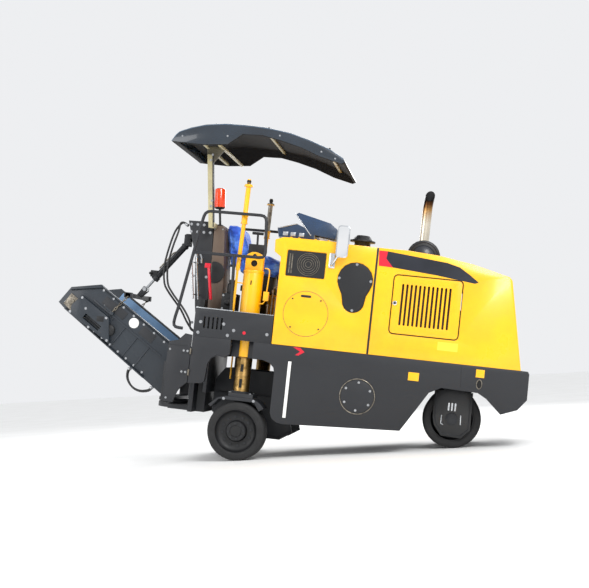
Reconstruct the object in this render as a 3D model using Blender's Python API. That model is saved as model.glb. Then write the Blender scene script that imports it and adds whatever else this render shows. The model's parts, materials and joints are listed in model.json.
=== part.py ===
"""Cold planer milling machine, half-metre class, on four solid-tyred wheels.

World frame: +X towards the engine end, +Y to the left side, +Z up, metres. The chassis is modelled
level in its own frame and stands nose down under one empty, because the rear lift columns are out.
"""
import math

import bmesh
import bpy
from mathutils import Euler, Vector

# ---- driving dimensions, metres ----
PITCH = math.radians(9.5)            # the chassis stands nose down by this much
ORIGIN_X = 0.5128                    # rear wheel line, from the middle of the whole machine
WHEELBASE = 2.153                    # near rear wheel to front wheels, in the chassis frame
HALF = 0.85                          # half the width of the body
GAP = 0.0003                         # between neighbouring pieces
TYRE_R = 0.300
TYRE_SIDES = 32
REAR_TYRE_W = 0.22
FRONT_TYRE_W = 0.20
REAR_DROP = -0.0603                  # rear wheel centre in the chassis frame, columns out
REAR_Y = 0.735                       # rear wheel centre from the middle
LEFT_TRAIL = -0.22                   # the left wheel trails behind its column
FRONT_Y = 0.40
COLUMN_X = -0.024
COLUMN_Y = 0.645
SLEEVE_R = 0.105
RAM_R = 0.082
FRAME_TOP = 0.862
WELL_TOP = 0.700                     # roof of the round wells that hold the front kingpins
DECK_TOP = 1.150
HOOD_TOP = 1.944
REAR_TOP = 1.961
SPLIT_X = 1.2505                     # where rear body and engine hood meet
DRUM_X = 0.07
DRUM_Z = 0.20
DRUM_R = 0.28
DRUM_W = 0.50
DRUM_Y = 0.05
CONVEYOR_FOOT = (-0.86, 0.0, 0.50)   # lift hinge of the conveyor
CONVEYOR_RISE = math.radians(33.6)
LIFT_TOP = (-0.905, 0.0, 1.865)      # upper pin of the lift cylinder
LIFT_EYE = (-1.325, 0.0, 1.312)      # rod eye of the lift cylinder
CANOPY_HALF = 0.70

YELLOW = (0.93, 0.66, 0.0)
BLACK = (0.020, 0.023, 0.028)
SLATE = (0.05, 0.075, 0.11)
STEEL = (0.45, 0.38, 0.26)

chassis = None


# ---- helpers ----
def clear_scene():
    for old in list(bpy.data.objects):
        bpy.data.objects.remove(old, do_unlink=True)


def material(name, colour, roughness=0.45, metallic=0.0):
    mat = bpy.data.materials.get(name)
    if mat:
        return mat
    mat = bpy.data.materials.new(name)
    mat.use_nodes = True
    shader = mat.node_tree.nodes["Principled BSDF"]
    shader.inputs["Base Color"].default_value = (*colour, 1.0)
    shader.inputs["Roughness"].default_value = roughness
    shader.inputs["Metallic"].default_value = metallic
    return mat


def paint(obj, colour, roughness=0.45, metallic=0.0):
    obj.data.materials.clear()
    obj.data.materials.append(material("paint_" + obj.name, colour, roughness, metallic))
    return obj


def smooth(obj):
    obj.data.shade_smooth()
    obj.data.set_sharp_from_angle(angle=math.radians(40))
    return obj


def new_object(name, bm, origin=(0, 0, 0), parent="chassis"):
    """Object from a bmesh in parent space, with its own origin moved to the given point."""
    bmesh.ops.recalc_face_normals(bm, faces=bm.faces)
    bmesh.ops.translate(bm, verts=bm.verts, vec=-Vector(origin))
    mesh = bpy.data.meshes.new(name)
    bm.to_mesh(mesh)
    bm.free()
    obj = bpy.data.objects.new(name, mesh)
    bpy.context.scene.collection.objects.link(obj)
    obj.location = origin
    obj.parent = chassis if parent == "chassis" else parent
    return obj


def prism(points, low, high):
    """Closed solid from a side outline (x, z), between two planes y."""
    bm = bmesh.new()
    ends = [[bm.verts.new((x, y, z)) for x, z in points] for y in (low, high)]
    bm.faces.new(ends[0])
    bm.faces.new(ends[1])
    for i in range(len(points)):
        j = (i + 1) % len(points)
        bm.faces.new((ends[0][i], ends[0][j], ends[1][j], ends[1][i]))
    return bm


def block(x0, x1, y0, y1, z0, z1):
    return prism([(x0, z0), (x1, z0), (x1, z1), (x0, z1)], y0, y1)


def ring_points(centre, radius, sides, phase=0.0):
    step = 2 * math.pi / sides
    return [(centre[0] + radius * math.cos(phase + step * i),
             centre[1] + radius * math.sin(phase + step * i)) for i in range(sides)]


def rounded(x0, x1, z0, z1, radius, steps=3):
    """Outline of a rectangle with round corners."""
    points = []
    corners = ((x1 - radius, z1 - radius, 0), (x0 + radius, z1 - radius, 90),
               (x0 + radius, z0 + radius, 180), (x1 - radius, z0 + radius, 270))
    for cx, cz, start in corners:
        for i in range(steps + 1):
            a = math.radians(start + 90 * i / steps)
            points.append((cx + radius * math.cos(a), cz + radius * math.sin(a)))
    return points


def rod(start, end, radius, sides=12, radius_end=None):
    """Closed round bar between two points."""
    start, end = Vector(start), Vector(end)
    bm = bmesh.new()
    axis = end - start
    bmesh.ops.create_cone(bm, cap_ends=True, segments=sides, radius1=radius,
                          radius2=radius if radius_end is None else radius_end, depth=axis.length)
    turn = Vector((0, 0, 1)).rotation_difference(axis.normalized()).to_matrix().to_4x4()
    bmesh.ops.transform(bm, matrix=turn, verts=bm.verts)
    bmesh.ops.translate(bm, verts=bm.verts, vec=(start + end) / 2)
    return bm


def pipe(points, radius, sides=8):
    """Bar that follows a path, with flat ends."""
    points = [Vector(p) for p in points]
    bm = bmesh.new()
    rings = []
    across = None
    for i, point in enumerate(points):
        before = points[max(i - 1, 0)]
        after = points[min(i + 1, len(points) - 1)]
        along = (after - before).normalized()
        if across is None:
            across = along.orthogonal().normalized()
        across = (across - along * across.dot(along)).normalized()
        other = along.cross(across)
        rings.append([bm.verts.new(point + radius * (math.cos(2 * math.pi * k / sides) * across
                                                     + math.sin(2 * math.pi * k / sides) * other))
                      for k in range(sides)])
    for a, b in zip(rings, rings[1:]):
        for k in range(sides):
            m = (k + 1) % sides
            bm.faces.new((a[k], a[m], b[m], b[k]))
    bm.faces.new(rings[0])
    bm.faces.new(rings[-1])
    return bm


def bend(points, radius, steps=3):
    """The path with its inner corners rounded."""
    points = [Vector(p) for p in points]
    path = [points[0]]
    for before, corner, after in zip(points, points[1:], points[2:]):
        into, out = (before - corner), (after - corner)
        reach = min(radius, into.length * 0.49, out.length * 0.49)
        a = corner + into.normalized() * reach
        b = corner + out.normalized() * reach
        for i in range(steps + 1):
            t = i / steps
            path.append(a * (1 - t) ** 2 + corner * 2 * t * (1 - t) + b * t ** 2)
    path.append(points[-1])
    return path


def spun(profile, sides):
    """Ring or disc turned about the Y axis: profile is (distance along Y, radius) in a closed loop."""
    bm = bmesh.new()
    rings = []
    for along, radius in profile:
        ring = []
        for k in range(sides):
            a = 2 * math.pi * k / sides
            ring.append(bm.verts.new((radius * math.cos(a), along, radius * math.sin(a))))
        rings.append(ring)
    for i in range(len(rings)):
        a, b = rings[i], rings[(i + 1) % len(rings)]
        for k in range(sides):
            m = (k + 1) % sides
            bm.faces.new((a[k], a[m], b[m], b[k]))
    return bm


def carve(bm, cutters, operation="DIFFERENCE"):
    """Apply one exact Boolean for each cutter and return the new bmesh."""
    base = new_object("carve_base", bm, parent=None)
    for cutter_bm in cutters:
        tool = new_object("carve_tool", cutter_bm, parent=None)
        mod = base.modifiers.new("cut", "BOOLEAN")
        mod.operation = operation
        mod.object = tool
        mod.solver = "EXACT"
        graph = bpy.context.evaluated_depsgraph_get()
        mesh = bpy.data.meshes.new_from_object(base.evaluated_get(graph))
        base.modifiers.clear()
        base.data = mesh
        bpy.data.objects.remove(tool, do_unlink=True)
    out = bmesh.new()
    out.from_mesh(base.data)
    bpy.data.objects.remove(base, do_unlink=True)
    bmesh.ops.remove_doubles(out, verts=out.verts, dist=1e-6)
    bmesh.ops.dissolve_limit(out, angle_limit=math.radians(0.1), verts=out.verts, edges=out.edges)
    return out


def weld(bm, others):
    return carve(bm, others, "UNION")


# ---- frame and bodywork ----
def main_frame():
    arch = [(0.330, 0.566), (0.317, 0.625), (0.272, 0.668), (0.200, 0.690), (-0.148, 0.690)]
    outline = [(-0.148, FRAME_TOP), *reversed(arch), (0.330, 0.170), (0.352, 0.112), (0.405, 0.078),
               (0.459, 0.067), (1.651, 0.137), (1.899, 0.544), (2.021, 0.609), (2.381, 0.598),
               (2.468, 0.551), (2.622, 0.410), (2.782, 0.472), (2.867, 0.580), (2.865, 0.836),
               (2.850, FRAME_TOP)]
    inside = [(0.58, 0.12), (1.62, 0.19), (1.84, 0.60), (1.90, 0.76), (2.80, 0.76), (2.80, 1.0),
              (0.58, 1.0)]
    bm = prism(outline, -HALF, HALF)
    chamber = block(-0.30, 0.54, -0.50, 0.50, -0.20, 1.0)
    wells = [rod((WHEELBASE, s * FRONT_Y, 0.50), (WHEELBASE, s * FRONT_Y, WELL_TOP), 0.25, 24)
             for s in (-1, 1)]
    bores = [rod((COLUMN_X, s * COLUMN_Y, 0.5), (COLUMN_X, s * COLUMN_Y, 1.0), SLEEVE_R + GAP * 3, 24)
             for s in (-1, 1)]
    notches = [block(-0.20, COLUMN_X + 0.112, *sorted((s * 0.74, s * 0.90)), 0.50, 1.0) for s in (-1, 1)]
    bm = carve(bm, [prism(inside, -HALF + 0.03, HALF - 0.03), chamber, *wells, *bores, *notches])
    return smooth(paint(new_object("main_frame", bm), BLACK))


def rear_frame():
    near = [(-0.1485, FRAME_TOP), (-0.1485, 0.706), (-0.193, 0.671), (-0.277, 0.687), (-0.334, 0.653),
            (-0.367, 0.589), (-0.374, 0.503), (-0.380, 0.411), (-0.411, 0.385), (-0.550, 0.373),
            (-0.550, FRAME_TOP)]
    far = [(-0.1485, FRAME_TOP), (-0.1485, 0.700), (-0.550, 0.650), (-0.550, FRAME_TOP)]
    bm = block(-0.550, -0.1485, -0.80, 0.80, 0.80, FRAME_TOP)
    wall = block(-0.46, -0.42, -0.50, 0.50, 0.28, 0.82)
    bm = weld(bm, [prism(near, -HALF, -HALF + 0.06), prism(far, HALF - 0.06, HALF), wall])
    return paint(new_object("rear_frame", bm), BLACK)


def operator_platform():
    bm = block(-0.550, 0.264, -HALF, HALF, FRAME_TOP + GAP, DECK_TOP)
    hollow = block(-0.530, 0.244, -HALF + 0.02, HALF - 0.02, 0.5, DECK_TOP - 0.02)
    holes = [rod((COLUMN_X, s * COLUMN_Y, 0.9), (COLUMN_X, s * COLUMN_Y, 1.3), SLEEVE_R + GAP * 3, 24)
             for s in (-1, 1)]
    slots = [block(x - 0.009, x + 0.009, -1.0, 1.0, 0.950, 1.070)
             for x in (-0.445, -0.400, -0.355, -0.310, -0.265)]
    bm = carve(bm, [hollow, *holes, *slots])
    return paint(new_object("operator_platform", bm), BLACK)


def pear_outline(shrink=0.0):
    """Large circle above a small one, joined by hollow cheeks."""
    big, small = 0.180 - shrink, 0.112 - shrink
    points = [(1.052 + big * math.cos(math.radians(a)), 1.592 + big * math.sin(math.radians(a)))
              for a in range(-30, 211, 20)]
    points.append((1.052 - small - 0.012, 1.440))
    points += [(1.054 + small * math.cos(math.radians(a)), 1.374 + small * math.sin(math.radians(a)))
               for a in range(180, 361, 20)]
    points.append((1.052 + small + 0.012, 1.440))
    return points


SQUARE = (0.333, 0.738, 1.569, 1.838)
DOOR = (1.441, 2.134, 1.096, 1.690)


def rear_body():
    outline = [(0.2705, FRAME_TOP + GAP), (SPLIT_X - 0.001, FRAME_TOP + GAP), (SPLIT_X - 0.001, HOOD_TOP),
               (0.954, 1.949), (0.802, REAR_TOP), (0.281, REAR_TOP), (0.195, 1.927), (0.201, 1.805),
               (0.2705, 1.757)]
    inside = [(0.295, 0.5), (SPLIT_X - 0.026, 0.5), (SPLIT_X - 0.026, HOOD_TOP - 0.03), (0.954, 1.920),
              (0.802, 1.931), (0.295, 1.931)]
    bm = carve(prism(outline, -HALF, HALF), [prism(inside, -HALF + 0.024, HALF - 0.024)])
    cuts = []
    for s in (-1, 1):
        low, high = sorted((s * (HALF - 0.012), s * 1.0))
        cuts.append(prism(pear_outline(), low, high))
        cuts.append(prism(rounded(*SQUARE, 0.012, 2), low, high))
    return paint(new_object("rear_body", carve(bm, cuts)), YELLOW, 0.3)


def engine_hood():
    outline = [(SPLIT_X + 0.001, FRAME_TOP + GAP), (2.780, FRAME_TOP + GAP), (2.612, 1.745),
               (2.583, 1.775), (2.221, 1.865), (1.878, 1.921), (1.552, HOOD_TOP),
               (SPLIT_X + 0.001, HOOD_TOP)]
    inside = [(SPLIT_X + 0.026, 0.5), (2.82, 0.5), (2.752, FRAME_TOP), (2.588, 1.735), (2.570, 1.750),
              (2.216, 1.840), (1.874, 1.896), (1.550, 1.919), (SPLIT_X + 0.026, 1.919)]
    bm = carve(prism(outline, -HALF, HALF), [prism(inside, -HALF + 0.024, HALF - 0.024)])
    cuts = [prism(rounded(*DOOR, 0.04), min(s * 0.7, s * 1.0), max(s * 0.7, s * 1.0)) for s in (-1, 1)]
    return paint(new_object("engine_hood", carve(bm, cuts)), YELLOW, 0.3)


def side_covers():
    for s, side in ((-1, "right"), (1, "left")):
        low, high = sorted((s * (HALF - 0.0117), s * (HALF + 0.006)))
        cover = prism(pear_outline(0.0008), low, high)
        paint(new_object("pear_grille_" + side, cover), BLACK, 0.7)


def grille_doors():
    x0, x1, z0, z1 = DOOR
    clear = 0.006
    for s, side in ((-1, "right"), (1, "left")):
        low, high = sorted((s * (HALF - 0.022), s * (HALF - 0.001)))
        bm = prism(rounded(x0 + clear, x1 - clear, z0 + clear, z1 - clear, 0.035), low, high)
        pitch = (2.014 - 1.540) / 11
        cuts = [prism(rounded(1.540 + pitch * i - 0.011, 1.540 + pitch * i + 0.011, 1.185, 1.605,
                              0.0105, 2), -1.0, 1.0) for i in range(12)]
        door = new_object("grille_door_" + side, carve(bm, cuts), origin=(x1 - clear, s * HALF, 1.40))
        paint(door, YELLOW, 0.3)


def engine_block():
    return paint(new_object("engine_block", block(1.36, 2.14, -0.29, 0.29, 0.775, 1.42)), (0.1, 0.1, 0.1))


def exhaust_stack():
    """Upright pipe, cut off aslant so that its mouth faces the right side."""
    path = bend([(1.676, -0.2, 1.9405), (1.680, -0.2, 2.50), (1.712, -0.202, 2.72)], 0.08, 4)
    bore = [Vector((1.680, -0.2, 2.36)), *path[1:]]
    slash = block(-0.3, 0.3, -0.3, 0.3, 0, 0.5)
    facing = Vector((0.08, -0.79, 0.61)).normalized()
    turn = Vector((0, 0, 1)).rotation_difference(facing).to_matrix().to_4x4()
    bmesh.ops.transform(slash, matrix=turn, verts=slash.verts)
    bmesh.ops.translate(slash, verts=slash.verts, vec=(1.699, -0.2, 2.597))
    bm = carve(pipe(path, 0.050, 16), [pipe(bore, 0.045, 16), slash])
    return smooth(paint(new_object("exhaust_stack", bm), (0.5, 0.48, 0.44), 0.3, 1))


def air_filter():
    bm = rod((1.702, -0.62, 1.914), (1.702, -0.28, 1.914), 0.171, 24)
    trim = prism([(1.3, 1.70), (2.1, 1.70), (2.1, 1.885), (1.878, 1.9215), (1.552, 1.9445),
                  (1.3, 1.9445)], -0.9, 0.3)
    return smooth(paint(new_object("air_filter", carve(bm, [trim])), BLACK, 0.5))


def intake_hat():
    bm = rod((1.04, -0.3, 1.9495), (1.04, -0.3, 2.045), 0.085, 16)
    brim = rod((1.04, -0.3, 2.030), (1.04, -0.3, 2.048), 0.135, 16)
    dome = rod((1.04, -0.3, 2.040), (1.04, -0.3, 2.100), 0.120, 16, 0.070)
    return smooth(paint(new_object("intake_hat", weld(bm, [brim, dome])), BLACK, 0.5))


# ---- operator's place ----
def tower():
    base = prism([(-0.860, 2.092), (-0.584, 2.100), (-0.560, 1.60), (-0.560, 0.905), (-0.640, 0.905),
                  (-0.690, 1.18), (-0.745, 1.70)], -0.28, 0.28)
    foot = block(-0.600, -0.5515, -0.50, 0.50, 0.06, 1.10)
    x = CONVEYOR_FOOT[0]
    plate = rod((x, 0, 0.06), (x, 0, 0.1147), 0.17, 20)
    tongue = block(x, -0.4605, -0.30, 0.30, 0.06, 0.11)
    riser = block(-0.56, -0.4605, -0.30, 0.30, 0.07, 0.60)
    return paint(new_object("conveyor_tower", weld(base, [foot, plate, tongue, riser])), BLACK)


def pillar_cover():
    pts = [(-0.5497, DECK_TOP + GAP), (-0.400, DECK_TOP + GAP), (-0.405, 1.45), (-0.461, 2.066),
           (-0.5730, 2.066), (-0.5597, 1.60)]
    return paint(new_object("pillar_cover", prism(pts, -0.279, 0.10)), (0.13, 0.08, 0.05), 0.5)


def handrails():
    for s, side in ((-1, "right"), (1, "left")):
        y = s * 0.825
        path = bend([(-0.660, s * 0.8675, 0.925), (-0.760, s * 0.8675, 0.930), (-0.765, y, 1.02),
                     (-0.738, y, 1.136), (-0.600, y, 1.985), (-0.565, y, 2.155), (0.075, y, 2.162),
                     (0.108, y, 1.728), (-0.640, y, 1.717)], 0.06, 3)
        bm = pipe(path, 0.0165, 8)
        post = pipe([(-0.215, y, 1.72), (-0.187, y, DECK_TOP + 0.004)], 0.0165, 8)
        smooth(paint(new_object("handrail_" + side, weld(bm, [post])), BLACK, 0.35))


def seat():
    base = rod((-0.06, 0.10, DECK_TOP + GAP), (-0.06, 0.10, 1.42), 0.09, 12)
    plate = block(-0.25, 0.13, -0.10, 0.30, 1.40, 1.46)
    bellows = block(-0.22, 0.10, -0.08, 0.28, 1.45, 1.585)
    paint(new_object("seat_base", weld(base, [plate, bellows])), BLACK, 0.7)
    cushion = [(-0.285, 1.60), (0.155, 1.588), (0.185, 1.66), (0.165, 1.745), (0.0, 1.80), (-0.20, 1.735),
               (-0.285, 1.73)]
    paint(new_object("seat_cushion", prism(cushion, -0.14, 0.34)), (0.01, 0.06, 0.6), 0.6)
    back = [(-0.288, 1.66), (-0.287, 1.735), (-0.205, 1.7375), (-0.20, 1.80), (-0.30, 2.06),
            (-0.335, 2.10), (-0.44, 2.11), (-0.455, 2.07), (-0.405, 1.78), (-0.36, 1.64)]
    paint(new_object("seat_back", prism(back, -0.14, 0.34)), (0.01, 0.06, 0.6), 0.6)


def joystick_console():
    bm = block(-0.175, -0.010, -0.27, -0.165, 1.76, 1.905)
    stand = block(-0.140, -0.060, -0.25, -0.19, DECK_TOP + GAP, 1.80)
    stem = rod((-0.093, -0.22, 1.88), (-0.099, -0.22, 2.015), 0.012, 8)
    grip = rod((-0.160, -0.22, 2.027), (-0.038, -0.22, 2.027), 0.016, 8)
    return paint(new_object("joystick_console", weld(bm, [stand, stem, grip])), BLACK, 0.6)


def instrument_console():
    desk = [(0.300, 1.9613), (0.560, 1.9613), (0.560, 2.060), (0.368, 2.130), (0.165, 2.068),
            (0.187, 1.975), (0.300, 1.975)]
    bm = prism(desk, -0.60, -0.15)
    screen = [(0.346, 2.233), (0.374, 2.250), (0.718, 2.168), (0.790, 2.112), (0.780, 2.002),
              (0.563, 2.030), (0.534, 2.021)]
    bm = weld(bm, [prism(screen, -0.60, -0.10)])
    return paint(new_object("instrument_console", bm), (0.03, 0.045, 0.07), 0.4)


def mirrors():
    for s, side in ((-1, "right"), (1, "left")):
        y = s * 0.93
        low, high = sorted((y - 0.02, y + 0.02))
        head = prism(rounded(0.835, 0.958, 1.80, 2.125, 0.03), low, high)
        arm = pipe(bend([(0.800, s * (HALF + GAP), 1.715), (0.800, s * 0.90, 1.715), (0.87, y, 1.83)],
                        0.03), 0.012, 8)
        foot = block(0.770, 0.830, *sorted((s * (HALF + GAP), s * (HALF + 0.012))), 1.69, 1.84)
        paint(new_object("mirror_" + side, weld(head, [arm, foot])), (0.7, 0.72, 0.75), 0.1, 1)


def canopy():
    crest = [(-1.040, 2.880), (-0.972, 2.975), (-0.849, 3.028), (-0.693, 3.073), (-0.483, 3.100),
             (-0.270, 3.102), (-0.047, 3.094), (0.209, 3.058), (0.425, 2.998), (0.642, 2.922),
             (0.785, 2.841), (0.810, 2.800)]
    hem = [(0.770, 2.778), (0.547, 2.831), (0.330, 2.912), (0.114, 2.967), (-0.080, 3.003),
           (-0.290, 2.998), (-0.437, 2.880), (-0.701, 2.855), (-1.035, 2.862)]
    bm = prism(crest + hem, -CANOPY_HALF, CANOPY_HALF)
    under = [(x, z - 0.016) for x, z in crest[1:-1]]
    cavity = under + [(0.76, 2.5), (-0.95, 2.5)]
    bm = carve(bm, [prism(cavity, -CANOPY_HALF + 0.02, CANOPY_HALF - 0.02)])
    paint(new_object("canopy", bm), SLATE, 0.2)


def canopy_mast():
    y = -0.42
    mast = prism([(-0.600, 2.02), (-0.545, 2.02), (-0.636, 2.80), (-0.700, 2.80)], y - 0.025, y + 0.025)
    gusset = prism([(-0.715, 2.885), (-0.515, 2.870), (-0.636, 2.705), (-0.690, 2.705)], y - 0.012,
                   y + 0.012)
    bars = [block(x - 0.015, x + 0.015, -0.6797, 0.6797, 2.862, 2.885) for x in (-0.700, -0.530)]
    spine = block(-0.715, -0.515, -0.50, -0.34, 2.866, 2.882)
    joint = block(-0.600, -0.540, -0.445, -0.2805, 2.03, 2.08)
    return paint(new_object("canopy_mast", weld(mast, [gusset, *bars, spine, joint])),
                 (0.62, 0.58, 0.45), 0.4)


def beacon():
    y = -0.235
    bm = rod((-0.545, y, 2.268), (-0.560, y, 2.455), 0.052, 16)
    stem = rod((-0.520, y, 2.075), (-0.546, y, 2.29), 0.014, 8)
    foot = block(-0.552, -0.490, y - 0.03, y + 0.03, 2.0663, 2.080)
    return smooth(paint(new_object("beacon", weld(bm, [stem, foot])), (0.95, 0.2, 0.03), 0.3))


# ---- lift columns, wheels and axle ----
def column_sleeves():
    for s, side in ((-1, "right"), (1, "left")):
        y = s * COLUMN_Y
        bm = rod((COLUMN_X, y, 0.700), (COLUMN_X, y, 1.600), SLEEVE_R, 24)
        lug = prism([(COLUMN_X - 0.057, 1.59), (COLUMN_X + 0.057, 1.59), (COLUMN_X + 0.057, 1.70),
                     (COLUMN_X + 0.035, 1.775), (COLUMN_X, 1.79), (COLUMN_X - 0.035, 1.775),
                     (COLUMN_X - 0.057, 1.70)], y - 0.03, y + 0.03)
        bore = rod((COLUMN_X, y, 0.5), (COLUMN_X, y, 1.56), RAM_R + 0.0015, 24)
        eye = rod((COLUMN_X, y - 0.1, 1.70), (COLUMN_X, y + 0.1, 1.70), 0.018, 12)
        bm = carve(weld(bm, [lug]), [bore, eye])
        smooth(paint(new_object("lift_sleeve_" + side, bm), YELLOW, 0.3))


def gauge_rods():
    for s, side in ((-1, "right"), (1, "left")):
        y = s * 0.755
        bm = rod((-0.178, y, DECK_TOP + GAP), (-0.178, y, 1.60), 0.013, 8)
        lower = rod((-0.178, y, 1.58), (-0.164, y, 2.07), 0.022, 12)
        collar = rod((-0.164, y, 2.065), (-0.162, y, 2.14), 0.032, 12)
        upper = rod((-0.162, y, 2.135), (-0.158, y, 2.46), 0.026, 12)
        cap = rod((-0.158, y, 2.455), (-0.158, y, 2.475), 0.040, 12)
        ball = rod((-0.158, y, 2.47), (-0.158, y, 2.53), 0.018, 12)
        bm = weld(bm, [lower, collar, upper, cap, ball])
        smooth(paint(new_object("height_gauge_" + side, bm), YELLOW, 0.35))


def rear_legs():
    for s, side, wheel_x in ((-1, "right", 0.0), (1, "left", LEFT_TRAIL)):
        y = s * COLUMN_Y
        bm = rod((COLUMN_X, y, 0.31), (COLUMN_X, y, 1.20), RAM_R, 24)
        reach = min(wheel_x, COLUMN_X)
        plate = prism([(reach - 0.12, 0.285), (reach - 0.20, 0.262), (reach - 0.29, 0.180),
                       (reach - 0.26, 0.162), (reach - 0.185, 0.250), (0.155, 0.250), (0.214, 0.165),
                       (0.262, 0.200), (0.215, 0.245), (0.145, 0.285)], *sorted((s * 0.60, s * 0.84)))
        top = block(reach - 0.10, 0.13, *sorted((s * 0.53, s * 0.80)), 0.27, 0.325)
        arm = block(wheel_x - 0.09, wheel_x + 0.09, *sorted((s * 0.545, s * 0.595)), -0.13, 0.29)
        hub = rod((wheel_x, s * 0.57, REAR_DROP), (wheel_x, s * 0.66, REAR_DROP), 0.09, 16)
        leg = new_object("rear_leg_" + side, weld(bm, [plate, top, arm, hub]))
        smooth(paint(leg, STEEL, 0.35, 0.8))


def wheel(name, x, y, z, width, outward):
    """Solid tyre on a dished rim, one closed body, turned about Y."""
    half = width / 2
    rim, hub = 0.225, 0.105
    o = outward
    profile = [(-o * half, TYRE_R - 0.02), (-o * (half - 0.02), TYRE_R), (o * (half - 0.02), TYRE_R),
               (o * half, TYRE_R - 0.02), (o * half, rim), (o * (half - 0.06), rim - 0.008),
               (o * (half - 0.06), hub), (o * (half - 0.01), hub - 0.012), (o * (half - 0.01), 0.04),
               (-o * (half - 0.115), 0.04), (-o * (half - 0.115), rim - 0.01), (-o * half, rim)]
    flat = math.cos(math.pi / TYRE_SIDES)
    profile = [(a, r / flat if r > rim + 0.01 else r) for a, r in profile]
    bm = spun(profile, TYRE_SIDES)
    plug = rod((0, o * (half - 0.10), 0), (0, o * (half - 0.012), 0), 0.05, 16)
    bm = weld(bm, [plug])
    turn = Euler((0, math.pi / TYRE_SIDES, 0)).to_matrix().to_4x4()
    bmesh.ops.transform(bm, matrix=turn, verts=bm.verts)
    obj = new_object(name, bm)
    obj.location = (x, y, z)
    obj.rotation_euler = (0, -PITCH, 0)
    return smooth(paint(obj, (0.02, 0.02, 0.02), 0.8))


def wheels():
    wheel("rear_wheel_right", 0.0, -REAR_Y, REAR_DROP, REAR_TYRE_W, -1)
    wheel("rear_wheel_left", LEFT_TRAIL, REAR_Y, REAR_DROP + LEFT_TRAIL * math.tan(PITCH),
          REAR_TYRE_W, 1)
    wheel("front_wheel_right", WHEELBASE, -FRONT_Y, TYRE_R, FRONT_TYRE_W, -1)
    wheel("front_wheel_left", WHEELBASE, FRONT_Y, TYRE_R, FRONT_TYRE_W, 1)


def front_axle():
    """Cross beam bolted under the frame, with the steering cylinder in front of it."""
    beam = block(WHEELBASE - 0.07, WHEELBASE + 0.07, -0.20, 0.20, 0.42, 0.50)
    stand = block(WHEELBASE - 0.09, WHEELBASE + 0.09, -0.11, 0.11, 0.48, 0.5975)
    steer = rod((WHEELBASE + 0.10, -0.16, 0.45), (WHEELBASE + 0.10, 0.16, 0.45), 0.035, 12)
    return paint(new_object("front_axle", weld(beam, [stand, steer])), BLACK)


def knuckles():
    """Steered fork of each front wheel: kingpin, bridge over the tyre and outboard leg."""
    leg = [(1.955, 0.585), (1.960, 0.300), (1.980, 0.225), (2.060, 0.120), (2.262, 0.112), (2.350, 0.205),
           (2.345, 0.585), (2.260, 0.585), (2.260, 0.660), (2.046, 0.660), (2.046, 0.585)]
    for s, side in ((-1, "right"), (1, "left")):
        y = s * FRONT_Y
        outer = prism(leg, *sorted((s * 0.507, s * 0.540)))
        bridge = block(2.046, 2.260, *sorted((s * 0.30, s * 0.53)), 0.622, 0.660)
        pin = rod((WHEELBASE, y, 0.65), (WHEELBASE, y, WELL_TOP - 0.001), 0.07, 16)
        stub = rod((WHEELBASE, s * 0.52, TYRE_R), (WHEELBASE, s * 0.4895, TYRE_R), 0.036, 16)
        knuckle = new_object("front_knuckle_" + side, weld(outer, [bridge, pin, stub]),
                             origin=(WHEELBASE, y, WELL_TOP))
        paint(knuckle, BLACK)


# ---- milling gear ----
def drum():
    bm = rod((0, -DRUM_W / 2, 0), (0, DRUM_W / 2, 0), DRUM_R - 0.05, 20)
    picks = []
    for i in range(12):
        a = 2 * math.pi * i * 5 / 12
        y = -DRUM_W / 2 + 0.03 + (DRUM_W - 0.06) * i / 11
        inner = Vector((math.cos(a) * (DRUM_R - 0.07), y, math.sin(a) * (DRUM_R - 0.07)))
        lead = a + 0.10
        outer = Vector((math.cos(lead) * DRUM_R, y, math.sin(lead) * DRUM_R))
        picks.append(rod(inner, outer, 0.022, 6, 0.008))
    bm = weld(bm, picks)
    obj = new_object("milling_drum", bm)
    obj.location = (DRUM_X, DRUM_Y, DRUM_Z)
    return paint(obj, (0.25, 0.2, 0.16), 0.6, 0.8)


def drum_housing():
    y0, y1 = DRUM_Y - DRUM_W / 2 - 0.07, DRUM_Y + DRUM_W / 2 + 0.07
    outline = [(-0.38, 0.075), (0.45, 0.075), (0.45, 0.42), (0.38, 0.56), (-0.28, 0.56), (-0.38, 0.42)]
    bm = prism(outline, y0, y1)
    inner = [(-0.35, -0.2), (0.42, -0.2), (0.42, 0.41), (0.36, 0.53), (-0.26, 0.53), (-0.35, 0.41)]
    hang = block(-0.20, -0.10, y0 + 0.05, y1 - 0.05, 0.55, 0.7995)
    strut = block(0.36, 0.5397, -0.25, 0.35, 0.42, 0.50)
    bm = weld(bm, [hang, strut])
    bm = carve(bm, [prism(inner, y0 + 0.025, y1 - 0.025)])
    axle = [rod((DRUM_X, y0 + 0.001, DRUM_Z), (DRUM_X, DRUM_Y - DRUM_W / 2 - 0.006, DRUM_Z), 0.07, 16),
            rod((DRUM_X, DRUM_Y + DRUM_W / 2 + 0.006, DRUM_Z), (DRUM_X, y1 - 0.001, DRUM_Z), 0.07, 16)]
    return paint(new_object("drum_housing", weld(bm, axle)), BLACK)


def side_skids():
    """Edge protectors beside the drum housing, which float up and down."""
    shape = [(-0.36, -0.142), (0.383, -0.135), (0.508, -0.054), (0.475, 0.05), (0.44, 0.30),
             (-0.36, 0.30)]
    for s, side in ((-1, "right"), (1, "left")):
        edge = DRUM_Y + s * (DRUM_W / 2 + 0.075)
        bm = prism(shape, *sorted((edge, edge + s * 0.02)))
        shoe = prism([(-0.36, -0.142), (0.383, -0.135), (0.508, -0.054), (0.49, -0.04),
                      (0.37, -0.115), (-0.36, -0.122)], *sorted((edge, edge + s * 0.05)))
        paint(new_object("side_skid_" + side, weld(bm, [shoe])), BLACK)


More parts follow.
